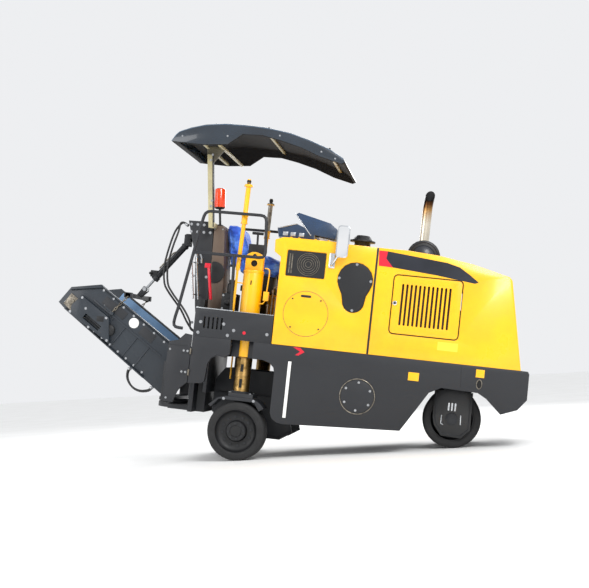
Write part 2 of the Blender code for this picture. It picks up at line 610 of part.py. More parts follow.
# ---- conveyor ----
def along(u, n):
    """Point of the conveyor's side view: u up its slope from the hinge, n square to it."""
    c, s = math.cos(CONVEYOR_RISE), math.sin(CONVEYOR_RISE)
    return (CONVEYOR_FOOT[0] - u * c + n * s, CONVEYOR_FOOT[2] + u * s + n * c)


def slope(pairs):
    return [along(u, n) for u, n in pairs]


def conveyor():
    wall = [(-0.10, -0.281), (1.296, -0.262), (1.399, -0.250), (1.393, -0.036), (1.150, 0.197),
            (0.05, 0.213), (-0.10, -0.02)]
    bm = prism(slope(wall), -0.40, 0.40)
    trough = prism(slope([(-0.3, -0.135), (1.60, -0.135), (1.60, 0.5), (-0.3, 0.5)]), -0.375, 0.375)
    below = prism(slope([(-0.3, -0.40), (1.60, -0.40), (1.60, -0.155), (-0.3, -0.155)]), -0.34, 0.34)
    bm = carve(bm, [trough, below])
    motor = prism(slope([(1.247, -0.171), (1.225, -0.02), (0.839, -0.016), (0.666, -0.220),
                         (1.20, -0.255)]), -0.470, -0.395)
    hole = prism(slope([(1.065, -0.200), (1.065, -0.14), (0.843, -0.14), (0.843, -0.200)]), -0.48, -0.402)
    lugs = [block(-1.575, -1.535, *sorted((s * 0.395, s * 0.432)), 0.985, 1.018) for s in (-1, 1)]
    bm = weld(bm, [carve(motor, [hole]), *lugs])
    foot = [prism(slope(ring_points((0.0, 0.0), 0.07, 12)), *sorted((s * 0.345, s * 0.399)))
            for s in (-1, 1)]
    bm = weld(bm, foot)
    obj = new_object("conveyor_frame", bm, origin=CONVEYOR_FOOT)
    paint(obj, (0.03, 0.04, 0.055), 0.4)
    belt = prism(slope([(-0.06, -0.1347), (1.36, -0.1347), (1.36, -0.118), (-0.06, -0.118)]), -0.36, 0.36)
    paint(new_object("conveyor_belt", belt, origin=CONVEYOR_FOOT), (0.03, 0.03, 0.03), 0.9)


def conveyor_swivel():
    """Turntable fork that carries the conveyor's foot."""
    x, _, z = CONVEYOR_FOOT
    base = rod((x, 0, 0.120), (x, 0, 0.165), 0.16, 20)
    cross = block(x - 0.06, x + 0.06, -0.47, 0.47, 0.15, 0.185)
    ears = [block(x - 0.05, x + 0.05, *sorted((s * 0.41, s * 0.47)), 0.17, z + 0.06) for s in (-1, 1)]
    pins = [rod((x, s * 0.4005, z), (x, s * 0.44, z), 0.03, 12) for s in (-1, 1)]
    obj = new_object("conveyor_swivel", weld(base, [cross, *ears, *pins]), origin=(x, 0, 0.17))
    return paint(obj, BLACK)


def lift_cylinder():
    top, eye = Vector(LIFT_TOP), Vector(LIFT_EYE)
    way = (eye - top).normalized()
    mouth = top + way * 0.55
    barrel = rod(top + way * 0.02, mouth, 0.036, 12)
    head = rod(top + Vector((0, -0.03, 0)), top + Vector((0, 0.03, 0)), 0.035, 12)
    bore = rod(top + way * 0.12, mouth + way * 0.1, 0.0245, 12)
    obj = new_object("cylinder_barrel", carve(weld(barrel, [head]), [bore]), origin=LIFT_TOP)
    smooth(paint(obj, BLACK, 0.3))
    piston = rod(top + way * 0.30, eye - way * 0.02, 0.016, 12)
    knob = rod(eye + Vector((0, -0.03, 0)), eye + Vector((0, 0.03, 0)), 0.032, 12)
    obj = new_object("cylinder_rod", weld(piston, [knob]), origin=LIFT_EYE)
    smooth(paint(obj, (0.3, 0.3, 0.32), 0.3, 0.8))


def spreader_bar():
    """Cross bar under the rod's eye, with the two chain legs down to the conveyor's walls."""
    bar = block(-1.425, -1.375, -0.43, 0.43, 1.205, 1.235)
    cheek = [(-1.425, 1.21), (-1.375, 1.21), (-1.298, 1.29), (-1.298, 1.33), (-1.335, 1.345)]
    cheeks = [prism(cheek, *sorted((s * 0.036, s * 0.050))) for s in (-1, 1)]
    legs = [rod((-1.400, s * 0.418, 1.220), (-1.548, s * 0.420, 1.031), 0.010, 8) for s in (-1, 1)]
    obj = new_object("spreader_bar", weld(bar, [*cheeks, *legs]), origin=CONVEYOR_FOOT)
    paint(obj, BLACK)


def cylinder_bracket():
    x, _, z = LIFT_TOP
    collar = rod((CONVEYOR_FOOT[0] - 0.03, 0, z + 0.07), (CONVEYOR_FOOT[0] - 0.03, 0, z + 0.10), 0.05, 12)
    ears = [block(x - 0.035, x + 0.035, *sorted((s * 0.036, s * 0.056)), z - 0.035, z + 0.09)
            for s in (-1, 1)]
    bm = weld(collar, [block(x - 0.035, x + 0.05, -0.056, 0.056, z + 0.055, z + 0.09), *ears])
    return paint(new_object("cylinder_bracket", bm, origin=(CONVEYOR_FOOT[0], 0, z)), BLACK)


def flow(points, steps):
    """Smooth curve through the route's points."""
    points = [Vector(p) for p in points]
    ends = [points[0] * 2 - points[1], *points, points[-1] * 2 - points[-2]]
    path = []
    for a, b, c, d in zip(ends, ends[1:], ends[2:], ends[3:]):
        for i in range(steps):
            t = i / steps
            path.append(0.5 * (2 * b + (c - a) * t + (2 * a - 5 * b + 4 * c - d) * t * t
                               + (3 * b - a - 3 * c + d) * t ** 3))
    path.append(points[-1])
    return path


TOWER_HOSE = [(-0.8615, 2.035), (-0.905, 2.062), (-0.945, 2.050), (-1.000, 1.954), (-1.038, 1.770),
              (-1.066, 1.570), (-1.045, 1.390), (-0.990, 1.300), (-0.915, 1.215), (-0.830, 1.120),
              (-0.760, 1.010), (-0.700, 0.935), (-0.650, 0.905), (-0.6005, 0.900)]
LOOP_HOSE = [(0.34, -0.2945), (0.33, -0.340), (0.28, -0.400), (0.19, -0.430), (0.10, -0.410), (0.03, -0.345),
             (0.02, -0.2945)]
HOSE_R = 0.011


def hose(name, route, origin=(0, 0, 0)):
    curve = bpy.data.curves.new(name, "CURVE")
    curve.dimensions = "3D"
    curve.bevel_depth = HOSE_R
    curve.bevel_resolution = 2
    curve.use_fill_caps = True
    path = flow(route, 3)
    spline = curve.splines.new("POLY")
    spline.points.add(len(path) - 1)
    for spot, point in zip(spline.points, path):
        spot.co = (*(point - Vector(origin)), 1.0)
    obj = bpy.data.objects.new(name, curve)
    bpy.context.scene.collection.objects.link(obj)
    obj.location = origin
    obj.parent = chassis
    paint(obj, (0.02, 0.02, 0.02), 0.5)


def hoses():
    for i in (0, 1):
        side = -0.255 - 0.030 * i
        inset = 0.045 * i
        route = [(x + inset * (1 if 1.0 < z < 2.0 else 0), side - 0.05 * min(1, (2.04 - z) * 4), z)
                 for x, z in TOWER_HOSE]
        hose("tower_hose_%d" % (i + 1), route)
    for i in (0, 1):
        y = -0.37 + 0.055 * i
        route = [(p[0], y, p[1]) for p in slope([(u, n - 0.012 * i) for u, n in LOOP_HOSE])]
        route[0], route[-1] = [(p[0], y, p[1]) for p in slope([LOOP_HOSE[0], LOOP_HOSE[-1]])]
        hose("loop_hose_%d" % (i + 1), route, CONVEYOR_FOOT)


def rear_side_doors():
    shape = [(-0.556, 0.380), (-0.640, 0.300), (-0.687, 0.160), (-0.790, 0.160), (-0.800, 0.557),
             (-0.790, 0.779), (-0.694, 0.804), (-0.628, 0.876), (-0.556, 0.868)]
    for s, side in ((-1, "right"), (1, "left")):
        bm = prism(shape, *sorted((s * (HALF - 0.02), s * HALF)))
        paint(new_object("rear_side_door_" + side, bm, origin=(-0.5535, s * HALF, 0.60)), BLACK)


def build():
    global chassis
    clear_scene()
    chassis = bpy.data.objects.new("chassis_frame", None)
    bpy.context.scene.collection.objects.link(chassis)
    turn = Euler((0, PITCH, 0))
    near_drop = Vector((0, 0, REAR_DROP))
    near_drop.rotate(turn)
    chassis.rotation_euler = turn
    chassis.location = Vector((-ORIGIN_X, 0, TYRE_R)) - near_drop
    main_frame()
    rear_frame()
    operator_platform()
    rear_body()
    engine_hood()
    side_covers()
    grille_doors()
    engine_block()
    exhaust_stack()
    air_filter()
    intake_hat()
    tower()
    pillar_cover()
    handrails()
    seat()
    joystick_console()
    instrument_console()
    mirrors()
    canopy()
    canopy_mast()
    beacon()
    column_sleeves()
    gauge_rods()
    rear_legs()
    wheels()
    front_axle()
    knuckles()
    drum()
    drum_housing()
    side_skids()
    conveyor()
    conveyor_swivel()
    lift_cylinder()
    cylinder_bracket()
    spreader_bar()
    hoses()
    rear_side_doors()
    bpy.context.view_layer.update()


build()
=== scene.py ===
# %% [markdown]
# # A wheeled cold planer, dressed around its CAD frame
# The CAD model fixes where every plate, wheel and hinge is. This notebook loads it and adds what
# the eye reads as real: soft edges, paint with dust in it, a soft seat cover, bolts, chain links
# and hoses.

# %% Load the frame
import json
import math
import random

import bmesh
import bpy
from mathutils import Matrix, Vector


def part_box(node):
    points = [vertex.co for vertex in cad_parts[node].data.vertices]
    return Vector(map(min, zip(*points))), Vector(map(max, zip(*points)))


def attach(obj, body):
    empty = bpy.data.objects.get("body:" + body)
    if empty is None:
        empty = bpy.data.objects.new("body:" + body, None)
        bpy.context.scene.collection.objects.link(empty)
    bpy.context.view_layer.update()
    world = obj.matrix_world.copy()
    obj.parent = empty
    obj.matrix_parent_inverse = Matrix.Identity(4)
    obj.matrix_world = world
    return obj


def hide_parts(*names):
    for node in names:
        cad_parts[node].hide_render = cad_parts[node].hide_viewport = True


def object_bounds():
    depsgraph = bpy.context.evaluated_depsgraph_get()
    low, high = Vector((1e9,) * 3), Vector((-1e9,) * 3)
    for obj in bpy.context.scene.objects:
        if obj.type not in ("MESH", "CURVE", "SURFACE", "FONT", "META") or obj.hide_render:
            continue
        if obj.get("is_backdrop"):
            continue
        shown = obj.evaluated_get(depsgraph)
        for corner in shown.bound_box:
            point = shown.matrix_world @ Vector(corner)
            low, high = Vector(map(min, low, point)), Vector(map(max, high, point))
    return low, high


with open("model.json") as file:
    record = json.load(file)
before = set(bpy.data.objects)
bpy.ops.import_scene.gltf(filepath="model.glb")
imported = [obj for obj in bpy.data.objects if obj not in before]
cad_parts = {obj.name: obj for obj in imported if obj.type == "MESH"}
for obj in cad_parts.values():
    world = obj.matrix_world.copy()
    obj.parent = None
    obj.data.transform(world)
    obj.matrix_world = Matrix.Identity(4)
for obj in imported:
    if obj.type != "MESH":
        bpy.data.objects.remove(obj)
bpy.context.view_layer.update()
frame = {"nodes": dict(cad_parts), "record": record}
random.seed(7)

# %% [markdown]
# The chassis stands 9.5 degrees nose down, because the rear lift columns are out. Everything on it
# is easier to place in the chassis's own level axes, so one function turns those into the machine's
# frame.

# %% Chassis axes
PITCH = math.radians(9.5)
TYRE_R = 0.300
REAR_DROP = -0.0603
REAR_LINE = -0.5128
TURN = Matrix.Rotation(PITCH, 4, "Y")
LEVEL = Matrix.Translation(Vector((REAR_LINE, 0, TYRE_R)) - TURN @ Vector((0, 0, REAR_DROP))) @ TURN
HALF = 0.85
RIGHT, LEFT = -1, 1
SIDES = ((RIGHT, "right"), (LEFT, "left"))


def at(x, y, z):
    """Point given in the chassis's level axes."""
    return LEVEL @ Vector((x, y, z))


print("front axle line:", [round(v, 3) for v in at(2.153, 0, 0.3)])

# %% [markdown]
# The camera stands low beside the front wheel, a little rolled, with a long lens. Soft area lights
# and a pale floor keep the enamel's gloss readable without hard shadows.

# %% Camera, floor and light
CAMERA_AT = Vector((1.7418, -12.9227, 0.8764))
PAN, TILT, ROLL = math.radians(-7.405), math.radians(3.67), math.radians(-3.245)
forward = Vector((math.sin(PAN) * math.cos(TILT), math.cos(PAN) * math.cos(TILT), math.sin(TILT)))
flat_right = forward.cross(Vector((0, 0, 1))).normalized()
flat_up = flat_right.cross(forward)
right = math.cos(ROLL) * flat_right + math.sin(ROLL) * flat_up
up = math.cos(ROLL) * flat_up - math.sin(ROLL) * flat_right
camera_data = bpy.data.cameras.new("camera")
camera_data.sensor_width = 36.0
camera_data.lens = 73.35
camera = bpy.data.objects.new("camera", camera_data)
bpy.context.scene.collection.objects.link(camera)
camera.matrix_world = Matrix.Translation(CAMERA_AT) @ Matrix((right, up,
                                                              -forward)).transposed().to_4x4()
bpy.context.scene.camera = camera


def area_light(name, spot, size, power):
    data = bpy.data.lights.new(name, "AREA")
    data.size = size
    data.energy = power
    lamp = bpy.data.objects.new(name, data)
    bpy.context.scene.collection.objects.link(lamp)
    lamp.location = spot
    lamp.rotation_euler = (Vector((0, 0, 1.2)) - Vector(spot)).to_track_quat("-Z", "Y").to_euler()


area_light("key", (4.5, -7.5, 7.0), 3.5, 620)
area_light("fill", (-6.5, -5.5, 4.0), 5.0, 190)
area_light("back", (1.0, 7.0, 6.0), 6.0, 420)
world = bpy.data.worlds.new("studio")
world.use_nodes = True
world.node_tree.nodes["Background"].inputs["Color"].default_value = (0.97, 0.98, 1.0, 1)
world.node_tree.nodes["Background"].inputs["Strength"].default_value = 0.88
bpy.context.scene.world = world
bpy.context.scene.view_settings.view_transform = "Standard"

# %% [markdown]
# Every finish starts from a real one. `shade` makes the shader with its fixed values set on their
# own sockets, and `node` adds a node with its settings and links, so each material reads as a short
# recipe.

# %% Material helpers
FINISHES = {}


def linear(hex_colour):
    """sRGB hex to the linear colour that shaders use."""
    parts = [int(hex_colour[i:i + 2], 16) / 255 for i in (1, 3, 5)]
    return tuple(p / 12.92 if p <= 0.04045 else ((p + 0.055) / 1.055) ** 2.4 for p in parts) + (1.0,
                                                                                                )


def node(tree, kind, settings=None, links=None, values=None, stops=()):
    """Add a node: settings are properties, values sockets, stops a colour ramp's positions."""
    made = tree.nodes.new(kind)
    for key, value in (settings or {}).items():
        setattr(made, key, value)
    for key, value in (values or {}).items():
        made.inputs[key].default_value = value
    for key, source in (links or {}).items():
        tree.links.new(source, made.inputs[key])
    for i, (position, tone) in enumerate(stops):
        element = made.color_ramp.elements[i] if i < 2 else made.color_ramp.elements.new(position)
        element.position = position
        element.color = linear(tone) if isinstance(tone, str) else (tone, tone, tone, 1)
    return made


def shade(name, roughness, metallic=0.0, ior=None, coat=0.0, coat_roughness=0.05, sheen=0.0):
    mat = bpy.data.materials.new(name)
    mat.use_nodes = True
    tree = mat.node_tree
    shader = tree.nodes["Principled BSDF"]
    shader.inputs["Roughness"].default_value = roughness
    shader.inputs["Metallic"].default_value = metallic
    if ior:
        shader.inputs["IOR"].default_value = ior
    shader.inputs["Coat Weight"].default_value = coat
    shader.inputs["Coat Roughness"].default_value = coat_roughness
    shader.inputs["Sheen Weight"].default_value = sheen
    place = node(tree, "ShaderNodeTexCoord").outputs["Object"]
    FINISHES[name] = mat
    return mat, tree, shader, place


def dress(tree, shader, factor, socket, stops):
    """Send a pattern through a colour ramp into one socket of the shader."""
    made = node(tree, "ShaderNodeValToRGB", links={"Fac": factor}, stops=stops)
    tree.links.new(made.outputs["Color"], shader.inputs[socket])


def emboss(tree, shader, height, distance, strength=1.0):
    """Let a pattern raise the surface by a distance in metres."""
    made = node(tree, "ShaderNodeBump", values={"Distance": distance, "Strength": strength},
                links={"Height": height})
    tree.links.new(made.outputs["Normal"], shader.inputs["Normal"])


def enamel(name, clean, dusty, roughness, coat, grain=2.6):
    """Sprayed machine paint: soft patches of dust, fine orange peel, more gloss where wiped."""
    mat, tree, shader, place = shade(name, roughness, ior=1.5, coat=coat, coat_roughness=0.12)
    patches = node(tree, "ShaderNodeTexNoise", links={"Vector": place},
                   values={"Scale": grain, "Detail": 6.0, "Roughness": 0.62})
    dress(tree, shader, patches.outputs["Fac"], "Base Color", [(0.35, clean), (0.78, dusty)])
    dress(tree, shader, patches.outputs["Fac"], "Roughness",
          [(0.3, roughness * 0.8), (0.8, roughness * 1.5)])
    peel = node(tree, "ShaderNodeTexNoise", links={"Vector": place},
                values={"Scale": 260.0, "Detail": 2.0})
    emboss(tree, shader, peel.outputs["Fac"], 0.00025, 0.35)
    return mat


# %% [markdown]
# Two sprayed enamels cover most of the machine: a gloss yellow on the bodywork and a satin
# anthracite on the frame. The conveyor wears a bluer grey, and the mast a cream. Dust is a slightly
# browner, duller patch.

# %% Paints
enamel("yellow_enamel", "#FFBE00", "#F2AA00", 0.32, 0.25)
enamel("anthracite_enamel", "#191B20", "#222428", 0.50, 0.05)
enamel("conveyor_enamel", "#19212A", "#242C34", 0.42, 0.15)
enamel("cream_enamel", "#BDB48C", "#8A8060", 0.40, 0.2)
enamel("brown_enamel", "#57473B", "#6A594B", 0.45, 0.1)
enamel("red_enamel", "#D80C2C", "#B80A24", 0.34, 0.25)
enamel("navy_film", "#0B101B", "#121827", 0.34, 0.2)
enamel("white_enamel", "#F2F2F0", "#D8D8D4", 0.35, 0.2)
enamel("black_plastic", "#08090B", "#121316", 0.46, 0.0, 5.0)
enamel("desk_plastic", "#8F979E", "#6E767E", 0.42, 0.1, 8.0)
enamel("screen_housing", "#1E3A5C", "#16283F", 0.28, 0.4, 4.0)
enamel("label_film", "#F0D43A", "#E2C42C", 0.35, 0.2)
# A dark brown that is painted shade inside the engine bay, seen through the grille door.
enamel("bay_shade_brown", "#2A1408", "#3A1C0C", 0.60, 0.0, 6.0)
# A pale blue that is painted reflection of the sky on the conveyor's inner wall.
enamel("sky_reflection_blue", "#86A9CE", "#6E92BA", 0.35, 0.2, 4.0)
enamel("fork_black", "#0D0E10", "#1A1B1D", 0.34, 0.2, 4.0)
# A pale slate for the canopy's crest line: painted highlight.
enamel("slate_crest_highlight", "#4A6076", "#3A4E62", 0.22, 0.5, 4.0)
enamel("olive_steel", "#57513A", "#3E3A2C", 0.40, 0.2, 6.0)
enamel("dark_glass", "#0A0E14", "#10151D", 0.08, 0.6, 3.0)
print("paints:", len(FINISHES))

# %% [markdown]
# The canopy is a laid-up glass-fibre shell with a polished gelcoat. Sky and ground mirror in it, so
# it needs low roughness and a clear coat more than it needs texture.

# %% Gelcoat, steels, glass
mat, tree, shader, place = shade("slate_gelcoat", 0.22, ior=1.5, coat=0.8, coat_roughness=0.04)
cloud = node(tree, "ShaderNodeTexNoise", links={"Vector": place},
             values={"Scale": 3.0, "Detail": 5.0})
dress(tree, shader, cloud.outputs["Fac"], "Base Color", [(0.3, "#0E1924"), (0.75, "#1A2835")])
emboss(tree, shader, cloud.outputs["Fac"], 0.004, 0.3)


def metal(name, dark, light, roughness, grain, brushed=(1, 1, 1)):
    """Bare or plated metal with its tone drifting and a faint grain; `brushed` can stretch the
    grain into lines.
    """
    mat, tree, shader, place = shade(name, roughness, metallic=1.0)
    stretch = node(tree, "ShaderNodeMapping", links={"Vector": place}, values={"Scale": brushed})
    tone = node(tree, "ShaderNodeTexNoise", links={"Vector": stretch.outputs["Vector"]},
                values={"Scale": grain, "Detail": 7.0, "Roughness": 0.7})
    dress(tree, shader, tone.outputs["Fac"], "Base Color", [(0.32, dark), (0.68, light)])
    dress(tree, shader, tone.outputs["Fac"], "Roughness",
          [(0.3, roughness * 1.6), (0.7, roughness * 0.7)])
    emboss(tree, shader, tone.outputs["Fac"], 0.0006, 0.4)
    return mat


metal("ram_steel", "#4A3415", "#C9A466", 0.34, 14.0)
metal("hard_chrome", "#9EA2A6", "#DADCDE", 0.14, 30.0)
metal("worn_steel", "#5A554E", "#A29A8C", 0.42, 22.0)
metal("zinc_bolt", "#8E9094", "#C8CACC", 0.30, 60.0)
metal("bright_shell", "#B9BDC2", "#ECEEF0", 0.12, 20.0)
metal("alloy_trim", "#A8ACB0", "#E0E2E4", 0.25, 40.0)
metal("drum_steel", "#3B342C", "#7E7263", 0.50, 16.0)
metal("chrome_arm", "#B4B8BC", "#F2F3F4", 0.10, 30.0)

# %% [markdown]
# The stack is stainless tube. Heat stains it in bands, straw then brown then soot, towards the
# mouth, so its colour follows the height up the pipe.

# %% Heat-stained stainless
STACK_FOOT, STACK_MOUTH = at(1.66, -0.2, 1.94).z, at(1.74, -0.24, 2.60).z
mat, tree, shader, place = shade("stained_stainless", 0.26, metallic=1.0)
height = node(tree, "ShaderNodeSeparateXYZ", links={"Vector": place}).outputs["Z"]
climb = node(tree, "ShaderNodeMapRange", links={"Value": height},
             values={"From Min": STACK_FOOT, "From Max": STACK_MOUTH})
wobble = node(tree, "ShaderNodeTexNoise", links={"Vector": place},
              values={"Scale": 9.0, "Detail": 4.0})
mixed = node(tree, "ShaderNodeMath", {"operation": "MULTIPLY_ADD"},
             {0: wobble.outputs["Fac"], 2: climb.outputs["Result"]}, {1: 0.16})
dress(tree, shader, mixed.outputs["Value"], "Base Color",
      [(0.10, "#C9C2B2"), (0.62, "#E6DCC8"), (0.84, "#B58A55"), (0.93, "#5A3A22"),
       (0.99, "#15110F")])

# %% [markdown]
# Rubber comes in two kinds here: the grey, scuffed solid tyres with fine moulding rings, and black
# hose and belt rubber. Neither has a coat; their softness is high roughness and a little colour
# drift.


# %% Rubbers
def rubber(name, dark, light, roughness, grain):
    mat, tree, shader, place = shade(name, roughness, ior=1.52)
    scuff = node(tree, "ShaderNodeTexNoise", links={"Vector": place},
                 values={"Scale": grain, "Detail": 8.0, "Roughness": 0.7})
    dress(tree, shader, scuff.outputs["Fac"], "Base Color", [(0.35, dark), (0.72, light)])
    emboss(tree, shader, scuff.outputs["Fac"], 0.0012, 0.5)
    return mat


rubber("tyre_rubber", "#0D0D0E", "#1E1E1F", 0.70, 12.0)
rubber("hose_rubber", "#0E0F11", "#1C1D20", 0.45, 40.0)
rubber("belt_rubber", "#17181A", "#2B2A28", 0.80, 18.0)
# Near-black painted shade, made with the rubber recipe: it fills holes and slots, lines the stack's
# bore and darkens the canopy's underside.
rubber("painted_shade_black", "#0B0B0C", "#131314", 0.85, 8.0)

# %% [markdown]
# The seat cover is a bright blue woven polyester, slipped on and gathered. Threads are drawn at 3
# mm, coarser than the cloth's own half millimetre, so that the weave still shows at this distance.

# %% Blue cloth
THREAD = 0.003
mat, tree, shader, place = shade("blue_cover_cloth", 0.62, ior=1.46, sheen=0.35)
waves = [node(tree, "ShaderNodeTexWave", {"bands_direction": axis}, {"Vector": place},
              {"Scale": 0.314 / THREAD, "Distortion": 0.4}) for axis in ("Y", "Z")]
weave = node(tree, "ShaderNodeMath", {"operation": "MULTIPLY"},
             {0: waves[0].outputs["Fac"], 1: waves[1].outputs["Fac"]})
# A noise spreads darker and lighter blues over the cover: painted shade and highlights of its
# folds.
painted_fold_light = node(tree, "ShaderNodeTexNoise", links={"Vector": place},
            values={"Scale": 11.0, "Detail": 4.0})
dress(tree, shader, painted_fold_light.outputs["Fac"], "Base Color",
      [(0.3, "#1846BE"), (0.5, "#3A74E8"), (0.7, "#74A8FF")])
emboss(tree, shader, weave.outputs["Value"], 0.0008, 0.5)

# %% [markdown]
# Perforated sheet covers the cooler's side opening. The holes are 7 mm on an 11 mm pitch on the
# real cover; here they are 12 mm cells, dark in the middle, so they read as mesh and not as grey.

# %% Perforated black sheet
CELL = 0.012
mat, tree, shader, place = shade("matt_mesh", 0.6)
holes = node(tree, "ShaderNodeTexVoronoi", {"feature": "F1"}, {"Vector": place},
             {"Scale": 1 / CELL, "Randomness": 0.0})
dress(tree, shader, holes.outputs["Distance"], "Base Color", [(0.28, "#020203"), (0.40, "#0D0E11")])
emboss(tree, shader, holes.outputs["Distance"], 0.002, 0.8)

mat, tree, shader, place = shade("orange_lens", 0.16, ior=1.49, coat=0.4)
tint = node(tree, "ShaderNodeTexNoise", links={"Vector": place},
            values={"Scale": 9.0, "Detail": 2.0})
dress(tree, shader, tint.outputs["Fac"], "Base Color", [(0.3, "#D92B08"), (0.7, "#F4521A")])
mat, tree, shader, place = shade("mirror_glass", 0.03, metallic=1.0)
sky = node(tree, "ShaderNodeTexNoise", links={"Vector": place}, values={"Scale": 4.0})
dress(tree, shader, sky.outputs["Fac"], "Base Color", [(0.3, "#E8ECEF"), (0.7, "#FFFFFF")])
mat, tree, shader, place = shade("pale_floor", 0.65)
soil = node(tree, "ShaderNodeTexNoise", links={"Vector": place},
            values={"Scale": 1.2, "Detail": 4.0})
dress(tree, shader, soil.outputs["Fac"], "Base Color", [(0.3, "#F4F4F2"), (0.7, "#FBFBFA")])
floor_mesh = bpy.data.meshes.new("floor")
floor_mesh.from_pydata([(-40, -30, 0), (40, -30, 0), (40, 50, 0), (-40, 50, 0)], [], [(0, 1, 2, 3)])
floor_mesh.materials.append(FINISHES["pale_floor"])
floor = bpy.data.objects.new("floor", floor_mesh)
bpy.context.scene.collection.objects.link(floor)
floor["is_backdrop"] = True
print("finishes:", len(FINISHES))

# %% [markdown]
# A maker's pressed and welded plates never have knife edges. `soften` copies a CAD node, merges its
# loose triangles into a closed mesh, rounds its edges by a few millimetres and lets the copy stand
# for the node.


# %% Mesh helpers
def body_of_node(name):
    for body, nodes in frame["record"]["behaviour"]["bodies"].items():
        if name in nodes:
            return body
    raise KeyError(name)


def bake(obj):
    """Turn an object's modifiers into a plain mesh."""
    graph = bpy.context.evaluated_depsgraph_get()
    mesh = bpy.data.meshes.new_from_object(obj.evaluated_get(graph))
    obj.modifiers.clear()
    obj.data = mesh
    return obj


def link(name, mesh, finish):
    obj = bpy.data.objects.new(name, mesh)
    bpy.context.scene.collection.objects.link(obj)
    mesh.materials.clear()
    mesh.materials.append(FINISHES[finish])
    return obj


def soften(name, finish, width=0.004, steps=2, angle=32):
    source = frame["nodes"][name]
    mesh = source.data.copy()
    bm = bmesh.new()
    bm.from_mesh(mesh)
    bmesh.ops.remove_doubles(bm, verts=bm.verts, dist=2e-5)
    bmesh.ops.dissolve_limit(bm, angle_limit=math.radians(1.0), verts=bm.verts, edges=bm.edges)
    bm.to_mesh(mesh)
    bm.free()
    piece = link(name + "_skin", mesh, finish)
    if width:
        bevel = piece.modifiers.new("round", "BEVEL")
        bevel.width = width
        bevel.segments = steps
        bevel.limit_method = "ANGLE"
        bevel.angle_limit = math.radians(angle)
        bevel.harden_normals = False
        bake(piece)
    piece.data.shade_smooth()
    piece.data.set_sharp_from_angle(angle=math.radians(38))
    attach(piece, body_of_node(name))
    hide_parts(name)
    return piece


# %% [markdown]
# These nodes already have the right shape, so they only need their edges rounded and their paint.
# The wheels, screens, seat, console and conveyor get pieces of their own further down.

# %% Plates and castings
SOFTENED = {
    "yellow_enamel": ("rear_body", "engine_hood", "grille_door_right", "grille_door_left",
                      "lift_sleeve_right", "lift_sleeve_left"),
    "fork_black": ("front_knuckle_right", "front_knuckle_left"),
    "anthracite_enamel": ("main_frame", "rear_frame", "operator_platform", "conveyor_tower",
                          "front_axle", "drum_housing", "side_skid_right",
                          "side_skid_left", "conveyor_swivel", "cylinder_bracket",
                          "rear_side_door_right", "rear_side_door_left", "cylinder_barrel"),
    "conveyor_enamel": ("conveyor_frame",), "brown_enamel": ("pillar_cover",),
    "cream_enamel": ("canopy_mast",),
    "black_plastic": ("joystick_console", "air_filter", "intake_hat", "engine_block", "seat_base"),
    "matt_mesh": ("pear_grille_right", "pear_grille_left"), "hard_chrome": ("cylinder_rod",),
    "drum_steel": ("milling_drum",), "ram_steel": ("rear_leg_right", "rear_leg_left"),
    "slate_gelcoat": ("canopy",), "screen_housing": ("instrument_console",),
    "bright_shell": ("mirror_right", "mirror_left"), "belt_rubber": ("conveyor_belt",), }
EDGES = {"rear_body": 0.012, "engine_hood": 0.020, "main_frame": 0.008, "canopy": 0.014,
         "rear_leg_right": 0.002,
         "rear_leg_left": 0.002, "pear_grille_right": 0.003, "pear_grille_left": 0.003}
for finish, names in SOFTENED.items():
    for name in names:
        soften(name, finish, EDGES.get(name, 0.003))
for side in ("right", "left"):
    soften("handrail_" + side, "anthracite_enamel", 0)
    soften("height_gauge_" + side, "yellow_enamel", 0.002)
soften("exhaust_stack", "stained_stainless", 0)
print("softened:", sum(len(names) for names in SOFTENED.values()) + 5)

# %% [markdown]
# Details are small solids: plates cut from an outline, tubes along a path, and turned parts. Each
# helper adds one closed shell to a bmesh that is drawn in the chassis's level axes, and `keep`
# sends it to its body.


# %% Small solids
def plate(bm, outline, y0, y1):
    """Flat plate from a side outline (x, z) between two planes y."""
    ends = [[bm.verts.new((x, y, z)) for x, z in outline] for y in (y0, y1)]
    bm.faces.new(ends[0])
    bm.faces.new(ends[1])
    for i in range(len(outline)):
        j = (i + 1) % len(outline)
        bm.faces.new((ends[0][i], ends[0][j], ends[1][j], ends[1][i]))


def box(bm, x0, x1, y0, y1, z0, z1):
    plate(bm, [(x0, z0), (x1, z0), (x1, z1), (x0, z1)], y0, y1)


def circle(cx, cz, radius, sides=40):
    return [(cx + radius * math.cos(2 * math.pi * i / sides),
             cz + radius * math.sin(2 * math.pi * i / sides))
            for i in range(sides)]


def round_box(x0, x1, z0, z1, radius, steps=5):
    """Outline of a rectangle with round corners."""
    points = []
    for cx, cz, start in ((x1 - radius, z1 - radius, 0), (x0 + radius, z1 - radius, 90),
                          (x0 + radius, z0 + radius, 180), (x1 - radius, z0 + radius, 270)):
        for i in range(steps + 1):
            turn = math.radians(start + 90 * i / steps)
            points.append((cx + radius * math.cos(turn), cz + radius * math.sin(turn)))
    return points


def tube(bm, path, radius, sides=10, closed=False):
    """Round bar along a path; a closed path makes a ring."""
    path = [Vector(p) for p in path]
    count = len(path)
    rings = []
    across = None
    for i, point in enumerate(path):
        before = path[i - 1] if closed or i else path[0]
        after = path[(i + 1) % count] if closed or i + 1 < count else path[-1]
        way = (after - before).normalized()
        across = way.orthogonal() if across is None else across
        across = (across - way * across.dot(way)).normalized()
        other = way.cross(across)
        rings.append([bm.verts.new(point + radius * (math.cos(2 * math.pi * k / sides) * across
                                                     + math.sin(2 * math.pi * k / sides) * other))
                      for k in range(sides)])
    pairs = list(zip(rings, rings[1:])) + ([(rings[-1], rings[0])] if closed else [])
    for a, b in pairs:
        for k in range(sides):
            m = (k + 1) % sides
            bm.faces.new((a[k], a[m], b[m], b[k]))
    if not closed:
        bm.faces.new(rings[0])
        bm.faces.new(rings[-1])


